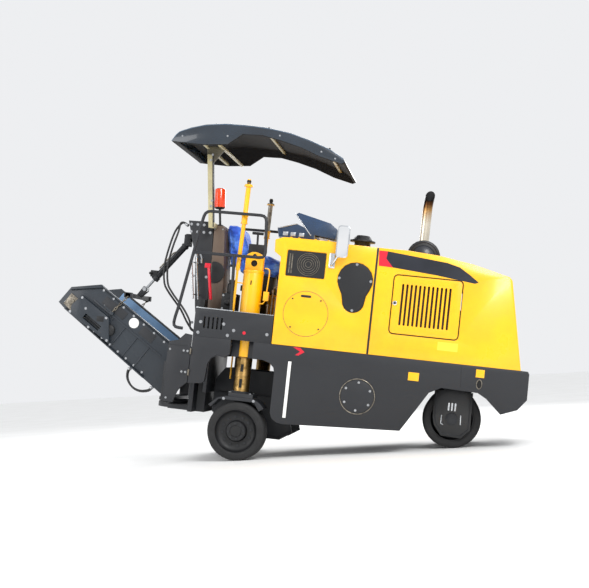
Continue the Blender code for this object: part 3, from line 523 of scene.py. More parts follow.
def turned(bm, profile, centre, axis, sides=48):
    """Turned solid: profile is (distance along the axis, radius) from pole to pole."""
    axis = Vector(axis).normalized()
    across = axis.orthogonal().normalized()
    other = axis.cross(across)
    rings = []
    for reach, radius in profile:
        middle = Vector(centre) + axis * reach
        rings.append([bm.verts.new(middle + radius * (math.cos(2 * math.pi * k / sides) * across
                                                      + math.sin(2 * math.pi * k / sides) * other))
                      for k in range(sides)])
    for a, b in zip(rings, rings[1:]):
        for k in range(sides):
            m = (k + 1) % sides
            bm.faces.new((a[k], a[m], b[m], b[k]))
    bm.faces.new(rings[0])
    bm.faces.new(rings[-1])


def curve(points, steps=6):
    """Smooth path through a route's points."""
    points = [Vector(p) for p in points]
    ends = [points[0] * 2 - points[1], *points, points[-1] * 2 - points[-2]]
    path = []
    for a, b, c, d in zip(ends, ends[1:], ends[2:], ends[3:]):
        for i in range(steps):
            t = i / steps
            path.append(0.5 * (2 * b + (c - a) * t + (2 * a - 5 * b + 4 * c - d) * t * t
                               + (3 * b - a - 3 * c + d) * t ** 3))
    path.append(points[-1])
    return path


def keep(name, bm, finish, body="chassis", soft=0.0, level=True):
    """Finish a bmesh as a named piece that rides on a body."""
    if level:
        bmesh.ops.transform(bm, matrix=LEVEL, verts=bm.verts)
    bmesh.ops.recalc_face_normals(bm, faces=bm.faces)
    mesh = bpy.data.meshes.new(name)
    bm.to_mesh(mesh)
    bm.free()
    piece = link(name, mesh, finish)
    if soft:
        bevel = piece.modifiers.new("round", "BEVEL")
        bevel.width = soft
        bevel.segments = 2
        bevel.limit_method = "ANGLE"
        bake(piece)
    piece.data.shade_smooth()
    piece.data.set_sharp_from_angle(angle=math.radians(35))
    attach(piece, body)
    return piece


# %% [markdown]
# Hundreds of bolts and links differ only in place. A Geometry Nodes tree puts one washer and
# hexagon head on each point of a mesh, so a cover's bolts are a list of points and two sizes, and
# they can be changed at once.


# %% Bolt tree
def tree_with_inputs(name, inputs):
    group = bpy.data.node_groups.new(name, "GeometryNodeTree")
    group.interface.new_socket("Geometry", in_out="INPUT", socket_type="NodeSocketGeometry")
    for label, kind, value in inputs:
        group.interface.new_socket(label, in_out="INPUT", socket_type=kind).default_value = value
    group.interface.new_socket("Geometry", in_out="OUTPUT", socket_type="NodeSocketGeometry")
    return group, group.nodes.new("NodeGroupInput"), group.nodes.new("NodeGroupOutput")


def close_tree(group, end, geometry, finish):
    solid = node(group, "GeometryNodeRealizeInstances", links={"Geometry": geometry})
    painted = node(group, "GeometryNodeSetMaterial", links={"Geometry": solid.outputs["Geometry"]},
                   values={"Material": FINISHES[finish]})
    group.links.new(painted.outputs["Geometry"], end.inputs["Geometry"])


def bolt_tree(finish):
    group, start, end = tree_with_inputs("bolts_" + finish, [
        ("Facing", "NodeSocketVector", (0, -1, 0)), ("Head Radius", "NodeSocketFloat", 0.012),
        ("Head Height", "NodeSocketFloat", 0.008), ("Seed", "NodeSocketInt", 3)])
    head = node(group, "GeometryNodeMeshCylinder", {"fill_type": "NGON"}, {
        "Radius": start.outputs["Head Radius"], "Depth": start.outputs["Head Height"]},
                {"Vertices": 6})
    wide = node(group, "ShaderNodeMath", {"operation": "MULTIPLY"},
                {0: start.outputs["Head Radius"]}, {1: 1.4})
    thin = node(group, "ShaderNodeMath", {"operation": "MULTIPLY"},
                {0: start.outputs["Head Height"]}, {1: 0.4})
    washer = node(group, "GeometryNodeMeshCylinder", {"fill_type": "NGON"}, {
        "Radius": wide.outputs[0], "Depth": thin.outputs[0]}, {"Vertices": 14})
    pair = node(group, "GeometryNodeJoinGeometry", links={"Geometry": head.outputs["Mesh"]})
    group.links.new(washer.outputs["Mesh"], pair.inputs["Geometry"])
    aim = node(group, "FunctionNodeAlignRotationToVector", {"axis": "Z"},
               {"Vector": start.outputs["Facing"]})
    spin = node(group, "FunctionNodeRandomValue", {"data_type": "FLOAT"},
                {"Seed": start.outputs["Seed"]})
    spin.inputs["Max"].default_value = math.tau
    twist = node(group, "ShaderNodeCombineXYZ", links={"Z": spin.outputs[1]})
    turned_by = node(group, "FunctionNodeRotateRotation", {"rotation_space": "LOCAL"},
                     {"Rotation": aim.outputs["Rotation"]})
    group.links.new(twist.outputs["Vector"], turned_by.inputs["Rotate By"])
    placed = node(group, "GeometryNodeInstanceOnPoints", links={
        "Points": start.outputs["Geometry"], "Instance": pair.outputs["Geometry"],
        "Rotation": turned_by.outputs["Rotation"]})
    close_tree(group, end, placed.outputs["Instances"], finish)
    return group


BOLT_TREES = {finish: bolt_tree(finish) for finish in ("zinc_bolt", "anthracite_enamel",
                                                       "yellow_enamel")}


def grow(name, mesh, group, finish, body, sizes):
    """Run a tree on a mesh with its named inputs set, and keep the plain result."""
    piece = link(name, mesh, finish)
    modifier = piece.modifiers.new("tree", "NODES")
    modifier.node_group = group
    for item in group.interface.items_tree:
        if item.in_out == "INPUT" and item.name in sizes:
            modifier[item.identifier] = sizes[item.name]
    bake(piece)
    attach(piece, body)
    return piece


def bolts(name, points, facing, radius=0.011, finish="zinc_bolt", body="chassis", height=0.008):
    """Bolts at points given in the chassis's axes, heads towards `facing`."""
    mesh = bpy.data.meshes.new(name)
    mesh.from_pydata([LEVEL @ Vector(p) for p in points], [], [])
    direction = (LEVEL.to_3x3() @ Vector(facing)).normalized()
    return grow(name, mesh, BOLT_TREES[finish], finish, body, {
        "Facing": tuple(direction), "Head Radius": radius, "Head Height": height, "Seed": 3})


def row(start, end, count):
    a, b = Vector(start), Vector(end)
    return [a.lerp(b, i / (count - 1)) for i in range(count)]


def ring(cx, cz, radius, count, y, phase=0.0):
    return [(cx + radius * math.cos(phase + math.tau * i / count), y,
             cz + radius * math.sin(phase + math.tau * i / count)) for i in range(count)]


# %% [markdown]
# Both flanks carry the same covers. Films and plates stand a millimetre or two proud of the enamel,
# so their edges catch light as a sticker's or a plate's does. All wording is left off.

# %% Flank covers and films
RED_FLAG = [(1.263, 1.916), (1.353, 1.916), (1.343, 1.841), (1.418, 1.758), (1.274, 1.762)]
SWOOSH = [(1.353, 1.916), (1.955, 1.857), (2.083, 1.824), (2.190, 1.758), (2.283, 1.691),
          (2.249, 1.676), (1.850, 1.723), (1.418, 1.758), (1.343, 1.841)]
CHEVRON = [(0.495, 0.855), (0.570, 0.855), (0.617, 0.815), (0.560, 0.775), (0.525, 0.775),
           (0.572, 0.815)]
for s, side in SIDES:
    skin = s * HALF

    def outwards(low, high):
        return sorted((skin + s * low, skin + s * high))
    films = bmesh.new()
    plate(films, RED_FLAG, *outwards(-0.0005, 0.0012))
    plate(films, CHEVRON, *outwards(-0.0005, 0.0012))
    keep("red_films_" + side, films, "red_enamel")
    films = bmesh.new()
    plate(films, SWOOSH, *outwards(-0.0005, 0.0012))
    keep("navy_film_" + side, films, "navy_film")
    trims = bmesh.new()
    box(trims, 1.240, 1.261, *outwards(-0.002, 0.0015), 0.866, 1.940)
    box(trims, 0.458, 0.502, *outwards(-0.0005, 0.002), 0.126, 0.713)
    latch = bmesh.new()
    plate(latch, circle(1.473, 1.404, 0.023, 28), *outwards(-0.012, 0.006))
    keep("door_latch_" + side, latch, "chrome_arm", "grille_door_" + side, soft=0.001)
    button = bmesh.new()
    plate(button, circle(1.473, 1.404, 0.012, 20), *outwards(0.004, 0.010))
    keep("latch_button_" + side, button, "black_plastic", "grille_door_" + side)
    # The rounded black strip is the service cover's handle slot, its darkness painted shade.
    plate(trims, round_box(0.520, 0.626, 1.368, 1.392, 0.011), *outwards(-0.0005, 0.003))
    keep("black_strips_and_slot_shade_" + side, trims, "black_plastic", soft=0.001)
    scale = bmesh.new()
    box(scale, 0.464, 0.496, *outwards(0.0015, 0.004), 0.134, 0.705)
    keep("depth_scale_" + side, scale, "white_enamel")
    labels = bmesh.new()
    box(labels, 1.682, 1.789, *outwards(-0.0005, 0.003), 0.649, 0.731)
    box(labels, 2.346, 2.430, *outwards(-0.0005, 0.003), 0.752, 0.831)
    keep("blank_plates_" + side, labels, "yellow_enamel", soft=0.001)
    labels = bmesh.new()
    box(labels, 1.939, 2.142, *outwards(-0.0005, 0.002), 0.979, 1.064)
    keep("blank_label_" + side, labels, "label_film")
    rims = bmesh.new()
    tube(rims, ring(0.586, 1.202, 0.230, 64, skin), 0.0025, 6, True)
    keep("service_cover_rim_" + side, rims, "brown_enamel")
    cover = bmesh.new()
    plate(cover, circle(1.195, 0.430, 0.165, 56), *outwards(-0.001, 0.006))
    keep("frame_cover_" + side, cover, "anthracite_enamel", soft=0.002)
    rims = bmesh.new()
    tube(rims, ring(1.195, 0.430, 0.176, 64, skin + s * 0.002), 0.005, 8, True)
    tube(rims, [(2.388 + 0.026 * math.cos(a), skin, 0.685 + 0.045 * math.sin(a))
                for a in [math.tau * i / 28 for i in range(28)]], 0.0045, 8, True)
    keep("light_rims_" + side, rims, "worn_steel")
    # The tie hole is filled with a near-black oval: painted shade inside the hole.
    hole_shade = bmesh.new()
    plate(hole_shade, [(2.388 + 0.024 * math.cos(a), 0.685 + 0.043 * math.sin(a))
                 for a in [math.tau * i / 28 for i in range(28)]], *outwards(-0.0005, 0.001))
    keep("tie_hole_shade_" + side, hole_shade, "painted_shade_black")
    bolts("frame_cover_bolts_" + side, ring(1.195, 0.430, 0.140, 6, skin + s * 0.008, 0.5),
          (0, s, 0), 0.009)
    bolts("service_dots_" + side, ring(0.586, 1.202, 0.205, 4, skin + s * 0.002, 0.8), (0, s, 0),
          0.006, "anthracite_enamel")
    bolts("deck_bolts_" + side,
          [(-0.482, skin + s * 0.003, 1.011), (-0.241, skin + s * 0.003, 1.011),
           (-0.131, skin + s * 0.003, 0.956), (0.216, skin + s * 0.003, 0.951),
           (-0.499, skin + s * 0.003, 0.900), (-0.190, skin + s * 0.003, 0.900)],
          (0, s, 0), 0.012)
print("flank pieces made on both sides")

# %% [markdown]
# The pear-shaped screen is pressed mesh in front of the cooler fan. Rings of small dimples follow
# its circle; a tree repeats one dimple on rings of points, which is lighter than cutting holes
# through the sheet.

# %% Screens
PEAR, PEAR_FOOT = (1.052, 1.592), (1.054, 1.374)
SQUARE = (0.333, 0.738, 1.569, 1.838)
for s, side in SIDES:
    face = s * (HALF + 0.007)
    rings = [p for k in range(1, 11) for p in ring(*PEAR, 0.0155 * k, 6 * k, face)]
    rings += [p for k in range(1, 6) for p in ring(*PEAR_FOOT, 0.0165 * k, 6 * k,
                                                   face) if p[2] < 1.425]
    bolts("screen_dimples_" + side, rings, (0, s, 0), 0.0042, "anthracite_enamel", height=0.003)
    bolts("screen_bolts_" + side, [(1.056, face, 1.752), (0.890, face, 1.599), (1.212, face, 1.594),
                                   (1.052, face, 1.284)], (0, s, 0), 0.010)
    panel = bmesh.new()
    low, high = sorted((s * (HALF - 0.0118), s * (HALF - 0.006)))
    plate(panel,
          round_box(SQUARE[0] + 0.004, SQUARE[1] - 0.004, SQUARE[2] + 0.004, SQUARE[3] - 0.004,
                    0.012),
          low, high)
    keep("cooler_panel_" + side, panel, "matt_mesh")
    fan = bmesh.new()
    for radius in (0.030, 0.052, 0.074, 0.096, 0.114):
        tube(fan, ring(0.560, 1.705, radius, 40, s * (HALF - 0.005)), 0.0028, 6, True)
    for x in (0.360, 0.385):
        box(fan, x, x + 0.012, *sorted((s * (HALF - 0.006), s * (HALF - 0.003))), 1.60, 1.80)
    keep("fan_guard_" + side, fan, "worn_steel")
    # A dark brown panel behind the grille door: painted shade inside the engine bay.
    inner = bmesh.new()
    low, high = sorted((s * (HALF - 0.060), s * (HALF - 0.030)))
    box(inner, 1.47, 2.10, low, high, 1.13, 1.66)
    keep("bay_shade_panel_" + side, inner, "bay_shade_brown")
    frame_line = bmesh.new()
    outline = round_box(1.438, 2.137, 1.093, 1.693, 0.043)
    tube(frame_line, [(x, s * HALF, z) for x, z in outline], 0.003, 6, True)
    keep("door_seal_" + side, frame_line, "black_plastic")
print("screens and fan guards made")

# %% [markdown]
# Each solid tyre is a moulded ring pressed on a dished steel wheel. Turning the profile gives the
# bead line and the rounded shoulder that a plain cylinder lacks, and the hub's bolts come from the
# bolt tree.

# %% Wheels
for name, s, width in (("rear_wheel_right", RIGHT, 0.22), ("rear_wheel_left", LEFT, 0.22),
                       ("front_wheel_right", RIGHT, 0.20), ("front_wheel_left", LEFT, 0.20)):
    low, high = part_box(name)
    hub = (low + high) / 2
    half = width / 2
    body = body_of_node(name)
    tyre = bmesh.new()
    side_profile = [(half - 0.002, 0.226), (half, 0.240), (half - 0.003, 0.252),
                    (half - 0.001, 0.262),
                    (half - 0.006, 0.282), (half - 0.016, 0.294), (half - 0.030, 0.2995)]
    profile = [(-a, r) for a, r in side_profile] + [(a, r) for a, r in reversed(side_profile)]
    inner = [(half - 0.004, 0.2235), (-half + 0.004, 0.2235)]
    loop = profile + inner
    turned(tyre, loop + [loop[0]], hub, (0, s, 0), 72)
    bmesh.ops.delete(tyre, geom=[f for f in tyre.faces if len(f.verts) > 4], context="FACES_ONLY")
    bmesh.ops.remove_doubles(tyre, verts=tyre.verts, dist=1e-6)
    piece = keep(name + "_tyre", tyre, "tyre_rubber", body, level=False)
    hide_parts(name)
    rim = bmesh.new()
    turned(rim,
           [(-half + 0.030, 0.030), (-half + 0.030, 0.200), (-half + 0.006, 0.212),
            (-half + 0.006, 0.2232),
            (half - 0.003, 0.2232), (half - 0.003, 0.216), (half - 0.030, 0.205),
            (half - 0.052, 0.180),
            (half - 0.060, 0.140), (half - 0.058, 0.112), (half - 0.020, 0.104),
            (half - 0.012, 0.096),
            (half - 0.012, 0.060), (half - 0.006, 0.054), (half - 0.006, 0.010)], hub,
           (0, s, 0), 56)
    keep(name + "_rim", rim, "black_plastic", body, level=False)
    mesh = bpy.data.meshes.new(name + "_nuts")
    mesh.from_pydata([hub + Vector((0.078 * math.cos(t), s * (half - 0.008), 0.078 * math.sin(t)))
                      for t in [math.tau * i / 8 for i in range(8)]]
                     + [hub + Vector((0.148 * math.cos(t), s * (half - 0.052), 0.148 * math.sin(t)))
                        for t in [math.tau * i / 12 for i in range(12)]], [], [])
    grow(name + "_nuts", mesh, BOLT_TREES["anthracite_enamel"], "anthracite_enamel", body,
         {"Facing": (0, s, 0), "Head Radius": 0.009, "Head Height": 0.012, "Seed": 3})

# %% [markdown]
# Some CAD nodes stand for parts in two finishes, such as a bare ram welded to a painted bracket.
# `repaint` gives a second finish to the faces that pass a test, with their centres read in the
# chassis's level axes.


# %% Second finishes
BACK = LEVEL.inverted()
COLUMN_X, COLUMN_Y = -0.024, 0.645


def repaint(piece, finish, test):
    """Second finish where test(centre, normal) holds, both in the chassis's axes."""
    piece.data.materials.append(FINISHES[finish])
    index = len(piece.data.materials) - 1
    turn = BACK.to_3x3()
    for face in piece.data.polygons:
        if test(BACK @ face.center, turn @ face.normal):
            face.material_index = index


def skin_of(name):
    return bpy.data.objects[name + "_skin"]


def in_bore(centre, normal):
    outwards = Vector((centre.x - 1.682 - max(0.0, centre.z - 2.5) * 0.15, centre.y + 0.2, 0))
    return centre.z > 2.30 and outwards.dot(normal) < 0 and outwards.length < 0.049


for s, side in SIDES:
    repaint(skin_of("rear_leg_" + side), "anthracite_enamel",
            lambda c, n: c.z < 0.330 or math.hypot(c.x - COLUMN_X, abs(c.y) - COLUMN_Y) > 0.10)
    repaint(skin_of("mirror_" + side), "chrome_arm", lambda c, n: c.z < 1.797 and c.x > 0.832)
# The stack's bore is painted near-black: painted shade inside the pipe.
repaint(skin_of("exhaust_stack"), "painted_shade_black", in_bore)
repaint(skin_of("instrument_console"), "desk_plastic",
        lambda c, n: c.x < 0.30 or (c.z < 2.015 and c.x < 0.57) or (c.x < 0.38 and c.z < 2.14))
repaint(skin_of("canopy_mast"), "olive_steel", lambda c,
        n: 2.68 < c.z < 2.90 and abs(c.y + 0.42) < 0.09)
print("second finishes set")

# %% [markdown]
# The lift columns carry the clearest hardware: a wide welded clevis over each yellow sleeve, a pin
# with nuts, a drain pipe with its valve, and a height gauge with two collars and a black knob.


# %% Lift columns and gauges
def ball(bm, centre, radius, sides=20):
    steps = 10
    turned(bm, [(-radius * math.cos(math.pi * (i + 0.5) / (steps + 1)),
                 radius * math.sin(math.pi * (i + 0.5) / (steps + 1))) for i in range(steps + 1)],
           centre, (0, 0, 1), sides)


def clevis(bm, cx, cz, y0, y1):
    """Wide lug with a round top and a hole, built as a ring of quads between two loops."""
    outer, inner = [], []
    for i in range(40):
        a = math.tau * i / 40
        c, s = math.cos(a), math.sin(a)
        reach = min(0.092 / max(abs(c), 1e-6), (0.075 / -s) if s < 0 else 0.118)
        outer.append((cx + reach * c, cz + reach * s))
        inner.append((cx + 0.034 * c, cz + 0.034 * s))
    loops = [[bm.verts.new((x, y, z)) for x, z in loop] for y in (y0, y1) for loop in (outer,
                                                                                       inner)]
    for i in range(40):
        j = (i + 1) % 40
        for a, b in ((loops[0], loops[1]), (loops[2], loops[3]), (loops[0], loops[2]),
                     (loops[1], loops[3])):
            bm.faces.new((a[i], a[j], b[j], b[i]))


def ram_slot(bm, s, z0, z1):
    """Near-black patch of painted shade for a slot, following the ram's round surface 0.5 mm proud
    of it.
    """
    fan = [math.radians(90 * s - 10.5 + 3.5 * i) for i in range(7)]
    outline = [(COLUMN_X + r * math.cos(a), s * COLUMN_Y + r * math.sin(a))
               for r, turn in ((0.078, fan), (0.0825, fan[::-1])) for a in turn]
    low, high = [[bm.verts.new((x, y, z)) for x, y in outline] for z in (z0, z1)]
    bm.faces.new(low)
    bm.faces.new(high[::-1])
    for i in range(len(outline)):
        bm.faces.new((low[i - 1], low[i], high[i], high[i - 1]))


for s, side in SIDES:
    yellow = bmesh.new()
    for edge in (0.031, -0.047):
        clevis(yellow, COLUMN_X, 1.672,
               *sorted((s * (COLUMN_Y + edge), s * (COLUMN_Y + edge + 0.016))))
    turned(yellow, [(0, 0.109), (0.022, 0.109)], (COLUMN_X, s * COLUMN_Y, 1.574), (0, 0, 1), 40)
    tube(yellow,
         curve([(0.096, s * 0.70, 1.629), (0.130, s * 0.70, 1.627), (0.148, s * 0.70, 1.600),
                (0.146, s * 0.70, 1.500), (0.140, s * 0.70, 1.392)]), 0.007, 8)
    box(yellow, 0.112, 0.166, *sorted((s * 0.675, s * 0.725)), 1.296, 1.390)
    tube(yellow, [(0.138, s * 0.70, 1.30), (0.110, s * 0.70, 1.262), (0.078, s * 0.70, 1.260)],
         0.007, 8)
    tube(yellow, [(-0.178, s * 0.755, 1.455), (-0.150, s * 0.73, 1.455), (-0.120, s * 0.69, 1.455)],
         0.006, 8)
    tube(yellow, [(-0.193, s * 0.42, 0.450), (-0.193, s * 0.42, 0.799)], 0.009, 10)
    keep("column_hardware_" + side, yellow, "yellow_enamel", soft=0.001)
    pins = bmesh.new()
    turned(pins, [(-0.056, 0.014), (-0.056, 0.018), (0.056, 0.018), (0.056, 0.014)],
           (COLUMN_X, s * COLUMN_Y, 1.752), (0, 1, 0), 20)
    ball(pins, (-0.158, s * 0.755, 2.506), 0.0235)
    turned(pins, [(0, 0.020), (0.018, 0.020)], (-0.158, s * 0.755, 2.470), (0, 0, 1), 20)
    keep("knobs_and_pins_" + side, pins, "black_plastic")
    # Near-black marks: a small box on the sleeve, and a disc of painted shade inside the clevis's
    # hole.
    marks = bmesh.new()
    box(marks, COLUMN_X - 0.006, COLUMN_X + 0.006, *sorted((s * 0.748, s * 0.7515)), 1.445, 1.490)
    plate(marks, circle(COLUMN_X, 1.672, 0.033, 32), *sorted((s * 0.640, s * 0.6765)))
    keep("column_marks_" + side, marks, "painted_shade_black")
    collars = bmesh.new()
    for z in (2.062, 2.140):
        turned(collars, [(0, 0.030), (0, 0.0365), (0.011, 0.0365), (0.011, 0.030)],
               (-0.163, s * 0.755, z), (0, 0, 1), 24)
    turned(collars, [(0, 0.030), (0, 0.046), (0.009, 0.046), (0.009, 0.030)],
           (-0.158, s * 0.755, 2.452), (0, 0, 1), 24)
    keep("gauge_collars_" + side, collars, "yellow_enamel")
    slot_shades = bmesh.new()
    for z0, z1 in ((0.545, 0.622), (0.380, 0.470)):
        ram_slot(slot_shades, s, z0, z1)
    keep("ram_slot_shades_" + side, slot_shades, "painted_shade_black", "rear_leg_" + side)
    foot = bmesh.new()
    turned(foot, [(0, 0.086), (0, 0.112), (0.022, 0.112), (0.022, 0.086)],
           (COLUMN_X, s * COLUMN_Y, 0.322), (0, 0, 1), 36)
    keep("ram_foot_ring_" + side, foot, "anthracite_enamel", "rear_leg_" + side)
    bolts("leg_bolts_" + side, [(x, s * y, 0.328) for x in (-0.115, 0.095) for y in (0.56, 0.76)],
          (0, 0, 1), 0.012, "zinc_bolt", "rear_leg_" + side)
    bolts("leg_side_bolts_" + side, [(-0.16, s * 0.842, 0.258), (0.150, s * 0.842, 0.262)],
          (0, s, 0), 0.010, "zinc_bolt", "rear_leg_" + side)
silver = bmesh.new()
for s, _ in SIDES:
    for x, z0, z1, r in ((0.150, 1.152, 1.245, 0.012), (0.192, 1.152, 1.400, 0.010),
                         (0.228, 1.152, 1.330, 0.012)):
        turned(silver,
               [(0, r * 1.9), (0.012, r * 1.9), (0.012, r), (z1 - z0, r), (z1 - z0, r * 1.6),
                (z1 - z0 + 0.022, r * 1.6)], (x, s * 0.60, z0), (0, 0, 1), 16)
    tube(silver,
         curve([(0.192, s * 0.60, 1.41), (0.205, s * 0.60, 1.45), (0.245, s * 0.60, 1.455)]), 0.008,
         8)
keep("hydraulic_fittings", silver, "worn_steel")
dots = bmesh.new()
for s, _ in SIDES:
    turned(dots, [(0, 0.017), (0.002, 0.017)], (-0.021, s * HALF, 0.943), (0, s, 0), 24)
keep("deck_markers", dots, "red_enamel")
repaint(skin_of("height_gauge_left"), "worn_steel", lambda c, n: c.z > 2.15)
print("rear columns dressed:", len(SIDES))

# %% [markdown]
# The operator stands on tread plate between the tower and the body. Around it are a red tool rest,
# two grab rails, a valve block and the folded edges of the deck, which are bare aluminium where
# boots have rubbed them.

# %% Operator's place
trim = bmesh.new()
for s, _ in SIDES:
    box(trim, -0.549, -0.165, *sorted((s * 0.846, s * 0.815)), 1.1505, 1.160)
    box(trim, -0.150, 0.262, *sorted((s * 0.849, s * 0.842)), 1.1505, 1.155)
box(trim, -0.549, -0.535, -0.80, 0.80, 1.1505, 1.166)
keep("deck_trim", trim, "alloy_trim", soft=0.001)
studs = [(-0.51 + 0.045 * i + (0.0225 if j % 2 else 0), -0.79 + 0.045 * j, 1.1512)
         for i in range(17) for j in range(36)]
studs = [p for p in studs if not any(math.hypot(p[0] - COLUMN_X,
                                                p[1] - s * COLUMN_Y) < 0.125 for s in (1, -1))
         and not (-0.57 < p[0] < -0.38 and -0.30 < p[1] < 0.12)]
bolts("tread_studs", studs, (0, 0, 1), 0.008, "anthracite_enamel", height=0.003)
rails = bmesh.new()
for x, y in ((-0.735, -0.40), (-0.690, -0.36)):
    tube(rails,
         curve([(x + 0.045, y, 1.250), (x + 0.010, y, 1.480), (x - 0.022, y, 1.700), (x, y, 1.752),
                (x + 0.032, y, 1.700), (x + 0.040, y, 1.640)], 5), 0.010, 10)
    for z, reach in ((1.300, 0.036), (1.640, 0.000)):
        tube(rails, [(x + reach, y, z), (x + reach, -0.275, z)], 0.007, 8)
keep("grab_rails", rails, "alloy_trim")
tool = bmesh.new()
tube(tool, [(-0.489, -0.45, 1.258), (-0.550, -0.45, 1.607)], 0.016, 16)
box(tool, -0.590, -0.528, -0.467, -0.433, 1.590, 1.640)
keep("red_tool_rest", tool, "red_enamel", soft=0.003)
blocks = bmesh.new()
box(blocks, -0.600, -0.535, -0.50, -0.40, 1.151, 1.250)
box(blocks, -0.375, -0.215, -0.44, -0.24, 1.151, 1.345)
turned(blocks, [(0, 0.050), (0.10, 0.050), (0.115, 0.035), (0.15, 0.035)], (-0.295, -0.34, 1.345),
       (0, 0, 1), 24)
turned(blocks, [(0, 0.030), (0.012, 0.036), (0.06, 0.036), (0.07, 0.020)], (-0.300, -0.44, 1.25),
       (0, -1, 0), 24)
half_round = [(x, z) for x, z in circle(-0.520, 1.560, 0.115, 48) if x > -0.5505]
plate(blocks, half_round, -0.2795, -0.295)
keep("valve_block", blocks, "black_plastic", soft=0.002)
bolts("valve_bolts",
      [(-0.36, -0.441, 1.18), (-0.23, -0.441, 1.18), (-0.36, -0.441, 1.32), (-0.23, -0.441, 1.32)],
      (0, -1, 0), 0.008)
bolts("tower_bolts", row((-0.825, -0.281, 2.055), (-0.615, -0.281, 2.060), 4)
      + row((-0.820, -0.281, 1.975), (-0.610, -0.281, 1.980), 4)
      + row((-0.740, -0.281, 1.500), (-0.600, -0.281, 1.500), 2)
      + row((-0.700, -0.281, 1.000), (-0.600, -0.281, 1.000), 2), (0, -1, 0), 0.011)
bolts("tower_bolts_left", row((-0.825, 0.281, 2.055), (-0.615, 0.281, 2.060), 4), (0, 1, 0), 0.011)
bolts("pillar_screws", row((-0.565, -0.2805, 2.030), (-0.475, -0.2805, 2.030), 2), (0, -1, 0),
      0.007)
print("tread studs:", len(studs))

# %% [markdown]
# The desk has a folded bright bezel around a dark display that leans towards the seat. The mirrors
# hold convex glass in a black shell, here given a bright metal finish; the glass is its own slab
# with a round outline.

# %% Desk, mirrors and intake
FACE_TOP, FACE_FOOT = Vector((0.343, 0, 2.237)), Vector((0.531, 0, 2.019))
along_face = (FACE_FOOT - FACE_TOP).normalized()
off_face = Vector((along_face.z, 0, -along_face.x)).normalized()


def face_slab(bm, start, end, low, high, y0, y1):
    """Slab parallel to the display face, from one depth in front of it to another."""
    corners = [FACE_TOP + along_face * start + off_face * low,
               FACE_TOP + along_face * end + off_face * low,
               FACE_TOP + along_face * end + off_face * high,
               FACE_TOP + along_face * start + off_face * high]
    plate(bm, [(p.x, p.z) for p in corners], y0, y1)


bezel = bmesh.new()
face_slab(bezel, -0.004, 0.282, 0.0, 0.010, -0.606, -0.580)
face_slab(bezel, -0.004, 0.282, 0.0, 0.010, -0.120, -0.094)
face_slab(bezel, -0.004, 0.016, 0.0, 0.010, -0.58, -0.12)
face_slab(bezel, 0.262, 0.282, 0.0, 0.010, -0.58, -0.12)
tube(bezel, [(0.167, -0.602, 2.070), (0.366, -0.602, 2.133)], 0.006, 8)
tube(bezel, [(0.189, -0.602, 1.978), (0.535, -0.602, 1.978)], 0.005, 8)
for x in (0.230, 0.310, 0.400):
    box(bezel, x, x + 0.052, -0.606, -0.600, 2.000, 2.040)
keep("desk_bezel", bezel, "alloy_trim", soft=0.001)
display = bmesh.new()
face_slab(display, 0.016, 0.262, 0.0, 0.004, -0.58, -0.12)
keep("display_glass", display, "dark_glass")
for s, side in SIDES:
    glass = bmesh.new()
    plate(glass, round_box(0.846, 0.948, 1.812, 2.113, 0.024), *sorted((s * 0.9495, s * 0.951)))
    keep("mirror_glass_" + side, glass, "mirror_glass")
    top = bmesh.new()
    for x in (0.345, 0.430, 0.600, 0.735):
        turned(top, [(0, 0.014), (0.010, 0.014), (0.014, 0.009)], (x, s * 0.78, 1.9605), (0, 0, 1),
               16)
    keep("roof_buttons_" + side, top, "yellow_enamel")
intake = bmesh.new()
tube(intake, ring(1.702, 1.914, 0.150, 48, -0.6215), 0.006, 8, True)
turned(intake, [(0, 0.118), (0.008, 0.112), (0.010, 0.070), (0.016, 0.060), (0.018, 0.020)],
       (1.702, -0.62, 1.914), (0, -1, 0), 40)
tube(intake,
     [(1.53 + 0.344 * i / 10, -0.45, 1.914 + 0.173 * math.sin(math.pi * (0.06 + 0.88 * i / 10)))
      for i in range(11)], 0.004, 6)
keep("air_filter_rings", intake, "navy_film")
print("bezel, mirrors and filter made")
# The canopy's underside and its inward faces are painted near-black: painted shade under the roof.
repaint(skin_of("canopy"), "painted_shade_black", lambda c,
        n: n.z < -0.25 or (abs(n.y) > 0.4 and n.y * c.y < 0))

# %% [markdown]
# The canopy hangs on cross bars that also stiffen its thin shell. From below they show as pale
# strips, and their bolts come out on top as small pegs. A thin pale tube along each side's upper
# edge is a painted highlight on the crest.

# %% Canopy bars and pegs
CREST = [(-1.040, 2.880), (-0.972, 2.975), (-0.849, 3.028), (-0.693, 3.073), (-0.483, 3.100),
         (-0.270, 3.102),
         (-0.047, 3.094), (0.209, 3.058), (0.425, 2.998), (0.642, 2.922), (0.785, 2.841)]
bars = bmesh.new()
for x, z in ((-0.050, 3.048), (0.620, 2.890)):
    box(bars, x - 0.014, x + 0.014, -0.678, 0.678, z, z + 0.022)
keep("canopy_bars", bars, "cream_enamel", soft=0.002)
pegs = bmesh.new()
for x, z in ((-0.600, 3.084), (-0.040, 3.093), (0.620, 2.930)):
    for y in (-0.60, 0.60):
        turned(pegs, [(-0.010, 0.012), (0.016, 0.012), (0.022, 0.008)], (x, y, z), (0, 0, 1), 16)
keep("canopy_pegs", pegs, "black_plastic")
for s, side in SIDES:
    crest_highlight_tube = bmesh.new()
    tube(crest_highlight_tube, curve([(x, s * 0.697, z - 0.010) for x, z in CREST], 4), 0.0045, 8)
    keep("canopy_crest_highlight_" + side, crest_highlight_tube, "slate_crest_highlight")
    bolts("canopy_bolts_" + side,
          [(-0.93, s * 0.7005, 2.93), (-0.45, s * 0.7005, 2.97), (0.10, s * 0.7005, 3.02),
           (0.55, s * 0.7005, 2.89), (0.70, s * 0.7005, 2.83)], (0, s, 0),
          0.007)
